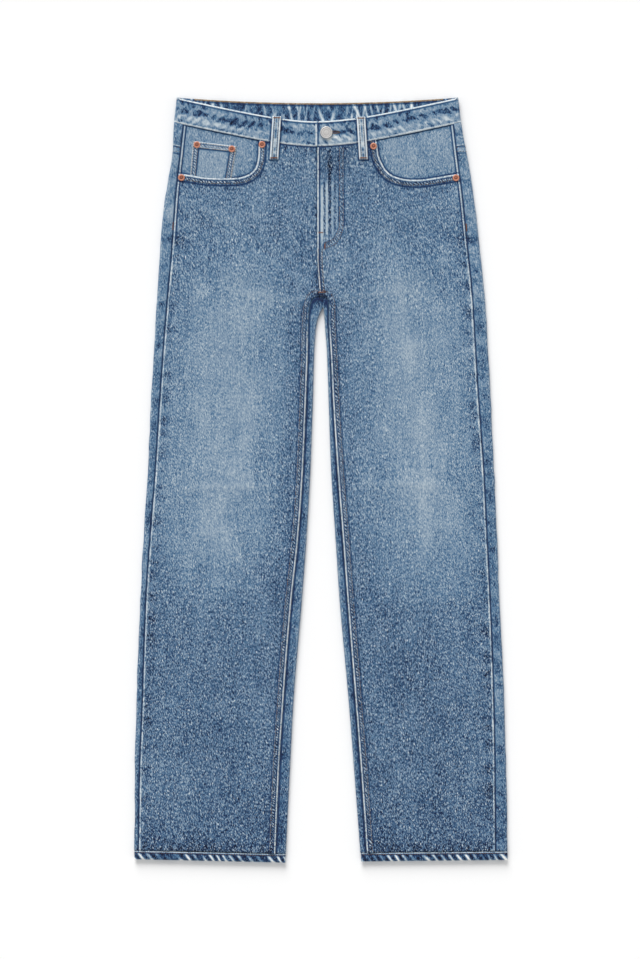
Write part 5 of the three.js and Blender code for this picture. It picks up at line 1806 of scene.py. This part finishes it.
def rivet_tree():
    """Sets one head on every point, turned to the point's own up."""
    kinds = {"Points": "Geometry", "Head": "Object", "Size": "Float", "Seed": "Int", "Finish": "Material"}
    tree, nodes, given = new_tree("rivets_on_points", kinds)
    head = nodes.node("GeometryNodeObjectInfo", {}, {"Object": given["Head"]}, out=4)
    upright = nodes.node("FunctionNodeAlignRotationToVector", {"axis": "Z"}, {"Vector": up_of(nodes)})
    facing = turned_by(nodes, upright, chance(nodes, 0.0, 6.28, given["Seed"]))
    size = nodes.node("ShaderNodeCombineXYZ", {}, dict.fromkeys("XYZ", given["Size"]))
    sockets = {"Points": given["Points"], "Instance": head, "Rotation": facing, "Scale": size}
    finish_tree(nodes, sockets, given["Finish"])
    return tree


def rivets():
    places, ups = [], []
    for rivet in RIVETS:
        hits = [plumb(top_skins, rivet["x"] + across, rivet["y"] + along) for across, along in PROBES]
        height = max(hit[0].z for hit in hits if hit)
        places.append((rivet["x"] * MM, rivet["y"] * MM, height))
        ups.append(sum((hit[1] for hit in hits if hit), Vector((0.0, 0.0, RIVET_STEADY))).normalized())
    mesh = points_with_up("rivet_points", places, ups)
    head = bpy.data.objects.new("rivet_head", lathe("rivet_head", RIVET_PROFILE, RIVET_SIDES))
    inputs = {"Head": head, "Size": 1.0, "Seed": 3}
    nodes = [rivet["node"] for rivet in RIVETS]
    grow("rivet_heads", rivet_tree(), mesh, inputs, copper, nodes)
    bpy.data.objects.remove(head)


rivets()

# %% [markdown]
# ## Stitches
# A topstitch is a row of short thread bridges, 3.4 mm from one to the next, that sink into the cloth at
# both ends. They could be painted on, but a painted stitch looks flat from the side. Geometry Nodes make
# them here: a tree takes lines that lie on the cloth, spaces points along them, and puts one small bead of
# thread at each. A bar tack is the same tree with its stitches turned across the line and close together. A
# few stitches are missing, as wear leaves them.

# %% A tree for stitches
TOPSTITCH = {"Pitch": 3.4, "Length": 2.8, "Width": 0.85, "Height": 0.6, "Turn": 0.0, "Loss": 0.03}
BOLD_STITCH = {**TOPSTITCH, "Width": 1.25, "Height": 0.75}
TACK = {"Pitch": 0.62, "Length": 2.5, "Width": 0.62, "Height": 0.8, "Turn": np.pi / 2, "Loss": 0.0}
LOOPER = {"Pitch": 1.9, "Length": 2.3, "Width": 2.8, "Height": 0.9, "Turn": 0.35, "Loss": 0.0}
NOT_LENGTHS = ("Turn", "Loss")
BEAD = {"Segments": 6, "Rings": 4, "Radius": 0.5}


def stitch_tree():
    kinds = {"Lines": "Geometry", **dict.fromkeys(TOPSTITCH, "Float"), "Seed": "Int", "Finish": "Material"}
    tree, nodes, given = new_tree("stitches_along_lines", kinds)
    path = nodes.node("GeometryNodeMeshToCurve", {}, {"Mesh": given["Lines"]})
    spacing = {"Curve": path, "Length": given["Pitch"]}
    path = nodes.node("GeometryNodeResampleCurve", {"mode": "LENGTH"}, spacing)
    axes = {"primary_axis": "X", "secondary_axis": "Z"}
    ways = {"Primary Axis": nodes.node("GeometryNodeInputTangent"), "Secondary Axis": up_of(nodes)}
    facing = turned_by(nodes, nodes.node("FunctionNodeAxesToRotation", axes, ways), given["Turn"])
    odds = {"Probability": 1.0 - given["Loss"], "Seed": given["Seed"]}
    kept = nodes.node("FunctionNodeRandomValue", {"data_type": "BOOLEAN"}, odds, out=3)
    worn = chance(nodes, 0.8, 1.08, given["Seed"])
    sizes = {"X": given["Length"] * worn, "Y": given["Width"], "Z": given["Height"]}
    size = nodes.node("ShaderNodeCombineXYZ", {}, sizes)
    bead = nodes.node("GeometryNodeMeshUVSphere", {}, BEAD)
    sockets = {"Points": path, "Selection": kept, "Instance": bead, "Rotation": facing, "Scale": size}
    finish_tree(nodes, sockets, given["Finish"])
    return tree


stitches_along_lines = stitch_tree()
print("stitch tree:", len(stitches_along_lines.nodes), "nodes")

# %% Lines on the cloth
LINE_STEP = 1.7
TACK_STEP = 0.6
LONGEST_DROP = 1.6  # mm: where a line falls off an edge further than this, it stops and starts again
SINK = 0.1  # the share of a stitch's height by which it stands above the cloth


def stations(line, step):
    """Points along a line at even steps."""
    line = np.array(line, float)
    lengths = lengths_along(line)
    at = even(0, lengths[-1], step)
    return np.column_stack([np.interp(at, lengths, line[:, i]) for i in (0, 1)])


def offset(line, distance):
    """A line beside another, on its left when distance is above 0."""
    line = np.array(line, float)
    run = np.gradient(line, axis=0)
    run /= np.linalg.norm(run, axis=1)[:, None]
    return line + distance * np.column_stack([-run[:, 1], run[:, 0]])


def thread(name, lines, finish, kind, surfaces, seed):
    """One piece of stitches along lines of (x, y), which plumb lines settle on the cloth."""
    points, ups, edges = [], [], []
    for line in lines:
        going = False
        for x, y in stations(line, TACK_STEP if kind is TACK else LINE_STEP):
            hit = plumb(surfaces, x, y)
            if hit is None:
                going = False
                continue
            going = going and abs(hit[0].z - points[-1].z) < LONGEST_DROP * MM
            points.append(hit[0] + hit[1] * SINK * kind["Height"] * MM)
            ups.append(hit[1])
            if going:
                edges.append((len(points) - 2, len(points) - 1))
            going = True
    mesh = points_with_up(name, points, ups, edges)
    inputs = {socket: float(value) * (1.0 if socket in NOT_LENGTHS else MM) for socket, value in kind.items()}
    grow(name, stitches_along_lines, mesh, {**inputs, "Seed": seed}, finish)

# %% Stitches of the legs
FELL_ROWS = (1.7, 8.0)
EDGE_ROW_TOP = 214.0
OUTSEAM_ROW = 2.9
OUTSEAM_TOP = 462.0
OUTSEAM_END = {"right": 357.0, "left": 354.0}
HEM_ROW = 2.2
HEM_LINE = {"outer": -530, "inner": -535, "inset": 4.0}


def inseam(leg):
    """The inseam from the crotch down to the hem."""
    fan = [leg.edge(np.array(fold)) for fold in even(CROTCH_SIDE - 4, LEG_TOP, 4)]
    straight = [(leg.seam_in(y), y) for y in even(LEG_TOP, leg.low + 1.5, 8)[1:]]
    return np.array([*fan, *straight], float)


def hem_line(leg, depth):
    """The row of stitches along a hem, from its outer fold to its inner one."""
    inset = leg.side * HEM_LINE["inset"]
    outer = (float(leg.fold_out(HEM_LINE["outer"])) - inset, leg.hem["outer"] + HEM_DEPTH - depth)
    return [outer, (float(leg.fold_in(HEM_LINE["inner"])) + inset, leg.hem["inner"] + HEM_DEPTH - depth)]


for leg in LEGS:
    edge_row, fell_row = [offset(inseam(leg), leg.side * distance) for distance in FELL_ROWS]
    edge_row = edge_row[edge_row[:, 1] < EDGE_ROW_TOP]
    heights = even(OUTSEAM_TOP, OUTSEAM_END[leg.word], 10)
    outseam = [(float(leg.seam_out(y)) - leg.side * OUTSEAM_ROW, y) for y in heights]
    hem_row = hem_line(leg, HEM_ROW)
    edge_rows, fell_rows = [edge_row, outseam], [fell_row, hem_row]
    thread(f"stitches_edge_{leg.word}", edge_rows, pale_thread, TOPSTITCH, top_skins, 3 + leg.side)
    thread(f"stitches_leg_{leg.word}", fell_rows, thread_finish, BOLD_STITCH, top_skins, 6 + leg.side)
    thread(f"stitches_hem_under_{leg.word}", [hem_row], thread_finish, TOPSTITCH, under_skins, 9 + leg.side)

# %% Stitches of the pockets
SCOOP_ROWS = (1.6, 7.6)
COIN_ROWS = (1.4, 7.4)
COIN_ENDS = (0.02, 0.98)

scoop_edges = []
pocket_rows = []
for leg in LEGS:
    for distance, rows in zip(SCOOP_ROWS, (scoop_edges, pocket_rows)):
        row = offset(scoops[leg.word], -leg.side * distance)
        below_band = row[:, 1] < front_edge(FRONT_SEAM, row[:, 0]) - 1
        rows.append(row[below_band & (np.abs(row[:, 0]) < np.abs(leg.seam_out(row[:, 1])) - 3)])
thread("stitches_scoop_edges", scoop_edges, pale_thread, TOPSTITCH, top_skins, 10)

for distance in COIN_ROWS:
    pocket_rows.append([np.ravel(coin_place(over, distance / COIN_TOP_SCALE)) for over in COIN_ENDS])
    from_side = distance / COIN_SIZE["across"]
    for over in (from_side, 1 - from_side):
        row = np.array([np.ravel(coin_place(over, down)) for down in np.linspace(0.02, 1, 40)])
        pocket_rows.append(row[from_line(row[:, 0], row[:, 1], scoops["right"], -1)[0] < -1.0])
thread("stitches_pockets", pocket_rows, thread_finish, BOLD_STITCH, top_skins, 11)

# %% Stitches of the fly
RISE_ROWS = (1.7, 6.8)
FLY_ROW = 1.8
FLY_EDGE = {"top": 463, "foot": 324}

fly_rows = [smooth_line(J_STITCH[name], 8) for name in ("outer", "inner")]
fly_rows += [[(centre_front(y) + distance, y) for y in even(322, RISE_FOOT, 6)] for distance in RISE_ROWS]
fly_edge = [(FLY_X + FLY_ROW, y) for y in FLY_EDGE.values()]
thread("stitches_fly", fly_rows, thread_finish, BOLD_STITCH, top_skins, 12)
thread("stitches_fly_edge", [fly_edge], pale_thread, TOPSTITCH, top_skins, 13)

# %% Stitches of the waistband and the loops
BAND_ROW = 1.8
LOOP_ROWS = (-2.6, 2.6)
LOOP_MARGIN = 2.5
BAND_FRONT = {"edge": front_edge, "low": FRONT_SEAM, "top": FRONT_TOP}
BAND_UNDER = {"edge": back_edge, "low": BACK_SEAM, "top": BACK_TOP}


def band_line(face, down, from_x, to_x):
    """A row along the waistband. down is 0 at its top edge and 1 at its lower edge."""
    edge = face["edge"]
    return [(x, lerp(edge(face["low"], x), edge(face["top"], x), 1 - down)) for x in even(from_x, to_x, 6)]


row_share = BAND_ROW / BAND_DEPTH
band_end = BAND_END["left"] + BAND_ROW
band_rows = [band_line(BAND_FRONT, down, -200, 192) for down in (1 - row_share, row_share)]
band_rows.append([(band_end, 468.5), (band_end, 499.5)])
thread("stitches_waistband", band_rows, pale_thread, TOPSTITCH, top_skins, 14)
under_rows = [band_line(BAND_UNDER, down, -198, 190) for down in (1 - row_share, row_share)]
thread("stitches_waistband_under", under_rows, pale_thread, TOPSTITCH, under_skins, 15)
looper_row = band_line(BAND_UNDER, 0.9 / BAND_DEPTH, -176, 170)
thread("looper_waistband", [looper_row], looper_finish, LOOPER, top_skins, 16)

loop_rows = []
for loop in FRONT_LOOPS:
    high, low = loop["top_y"] - LOOP_MARGIN, loop["foot_y"] + LOOP_MARGIN
    loop_rows += [[(loop["top_x"] + across, high), (loop["foot_x"] + across, low)] for across in LOOP_ROWS]
thread("stitches_front_loops", loop_rows, thread_finish, TOPSTITCH, front_loop_skins, 17)
loop_rows = []
for x in BACK_LOOPS.values():
    high, low = back_loop_ends(x)
    loop_rows += [[(x + across, high - 1.0), (x + across, low + LOOP_MARGIN)] for across in LOOP_ROWS]
thread("stitches_back_loops", loop_rows, thread_finish, TOPSTITCH, back_loop_skins, 18)

# %% Stitches of the yokes and the back
YOKE_ROWS = (1.7, 7.3)
POCKET_ROWS = (1.6, 7.4)
POCKET_HEM_ROW = 11.4


def pocket_outline(side, distance):
    """A line inside a back pocket's sides and point, distance from its edge."""
    heights = even(BACK_POCKET["top"] - 1.5, BACK_POCKET["side"] + 2, 6)
    down = [(float(pocket_bounds(y)[0]) + distance, y) for y in heights]
    up = [(float(pocket_bounds(y)[1]) - distance, y) for y in heights[::-1]]
    point = (POCKET_MIDDLE, BACK_POCKET["point"] + distance * 1.1)
    return [(x * side, y) for x, y in (*down, point, *up)]


yoke_top_rows = []
for leg in LEGS:
    for distance in YOKE_ROWS:
        y = YOKE_SIDE - distance
        seam_x, fold_x = float(leg.seam_out(y)) + leg.side * 1.5, float(leg.fold_out(y)) - leg.side * 1.2
        yoke_top_rows.append([(seam_x, y), (fold_x, y)])
thread("stitches_yoke_sides", yoke_top_rows, thread_finish, TOPSTITCH, top_skins, 19)

back_rows = []
for distance in YOKE_ROWS:
    back_rows.append([(x, float(yoke_seam(x)) - distance) for x in even(-204, 200, 8)])
    back_rows.append([(float(centre_back(y)) + distance, y) for y in even(486, 246, 8)])
y = BACK_POCKET["top"] - POCKET_HEM_ROW
inner, outer = (float(bound) for bound in pocket_bounds(np.array(y)))
for side in (-1, 1):
    back_rows += [pocket_outline(side, distance) for distance in POCKET_ROWS]
    back_rows.append([((inner + 1) * side, y), ((outer - 1) * side, y)])
thread("stitches_back", back_rows, thread_finish, TOPSTITCH, under_skins, 20)

# %% Bar tacks
TACK_REACH = 4.6
TACK_INSET = {"end": 2.0, "back_top": 1.5}
FRONT_TACKS = [
    [(-206.6, 360), (-207.3, 350)], [(203.0, 358), (203.8, 348)], [(-3.6, 345.8), (3.0, 345.8)],
    [(5.4, 322.6), (5.4, 330.4)], [(-3.5, 262.5), (6.5, 262.5)],
]
POCKET_TACKS = {"x": (49.5, 176.0), "top": 1.0, "foot": 10.0}


def level_tack(x, y):
    return [(x - TACK_REACH, y), (x + TACK_REACH, y)]


thread("tacks_front", FRONT_TACKS, tack_finish, TACK, top_skins, 21)
loop_tacks = []
for loop in FRONT_LOOPS:
    loop_tacks.append(level_tack(loop["top_x"], loop["top_y"] - TACK_INSET["end"]))
    loop_tacks.append(level_tack(loop["foot_x"], loop["foot_y"] + TACK_INSET["end"]))
thread("tacks_front_loops", loop_tacks, tack_finish, TACK, front_loop_skins, 22)
back_tacks = []
for x in BACK_LOOPS.values():
    high, low = back_loop_ends(x)
    back_tacks += [level_tack(x, high - TACK_INSET["back_top"]), level_tack(x, low + TACK_INSET["end"])]
thread("tacks_back_loops", back_tacks, tack_finish, TACK, back_loop_skins, 23)
high, low = BACK_POCKET["top"] - POCKET_TACKS["top"], BACK_POCKET["top"] - POCKET_TACKS["foot"]
pocket_tacks = [[(side * x, high), (side * x, low)] for side in (-1, 1) for x in POCKET_TACKS["x"]]
thread("tacks_back_pockets", pocket_tacks, tack_finish, TACK, under_skins, 24)

# %% Buttonhole
turns = np.linspace(0, 2 * np.pi, 60)
slit_x = SLIT["x"] + SLIT["reach"] * np.cos(turns)
buttonhole = np.column_stack([slit_x, SLIT["y"] + SLIT["half"] * np.sin(turns)])
thread("buttonhole", [buttonhole], thread_finish, TACK, top_skins, 25)

# %% [markdown]
# ## Floor and light
# The object lies on a plain pale floor in a bright room. A wide soft sun from the top of the picture gives
# the weave and the seams a little shade and leaves a faint shadow under the hems. An even white surround
# fills the rest.

# %% Floor and light
FLOOR = {"half": 25.0, "drop": 0.6 * MM, "white": 0.97}  # metres
SUN = {"strength": 2.95, "spread": 0.7, "from": (-0.3, 1.3, 0.75)}
SURROUND = 0.58

floor_mesh = bpy.data.meshes.new("floor")
square = np.array([(-1, -1), (1, -1), (1, 1), (-1, 1)]) * FLOOR["half"]
corners = [(x, y, -FLOOR["drop"]) for x, y in square]
floor_mesh.from_pydata(corners, [], [(0, 1, 2, 3)])
floor_finish, floor_nodes, _ = new_finish("floor_finish")
surface_of(floor_nodes, {"Base Color": (*[FLOOR["white"]] * 3, 1.0), "Roughness": 0.9})
floor_mesh.materials.append(floor_finish)
add_to_scene("floor", floor_mesh)

sun_data = bpy.data.lights.new("key_light", "SUN")
sun_data.energy = SUN["strength"]
sun_data.angle = SUN["spread"]
sun = add_to_scene("key_light", sun_data)
sun.rotation_euler = Vector(SUN["from"]).to_track_quat("Z", "Y").to_euler()
world = bpy.data.worlds.new("studio")
bpy.context.scene.world = world
world.use_nodes = True
surround = world.node_tree.nodes["Background"].inputs
surround["Color"].default_value = (1.0, 1.0, 1.0, 1.0)
surround["Strength"].default_value = SURROUND
bpy.context.scene.view_settings.view_transform = "Standard"
print("light ready")

# %% [markdown]
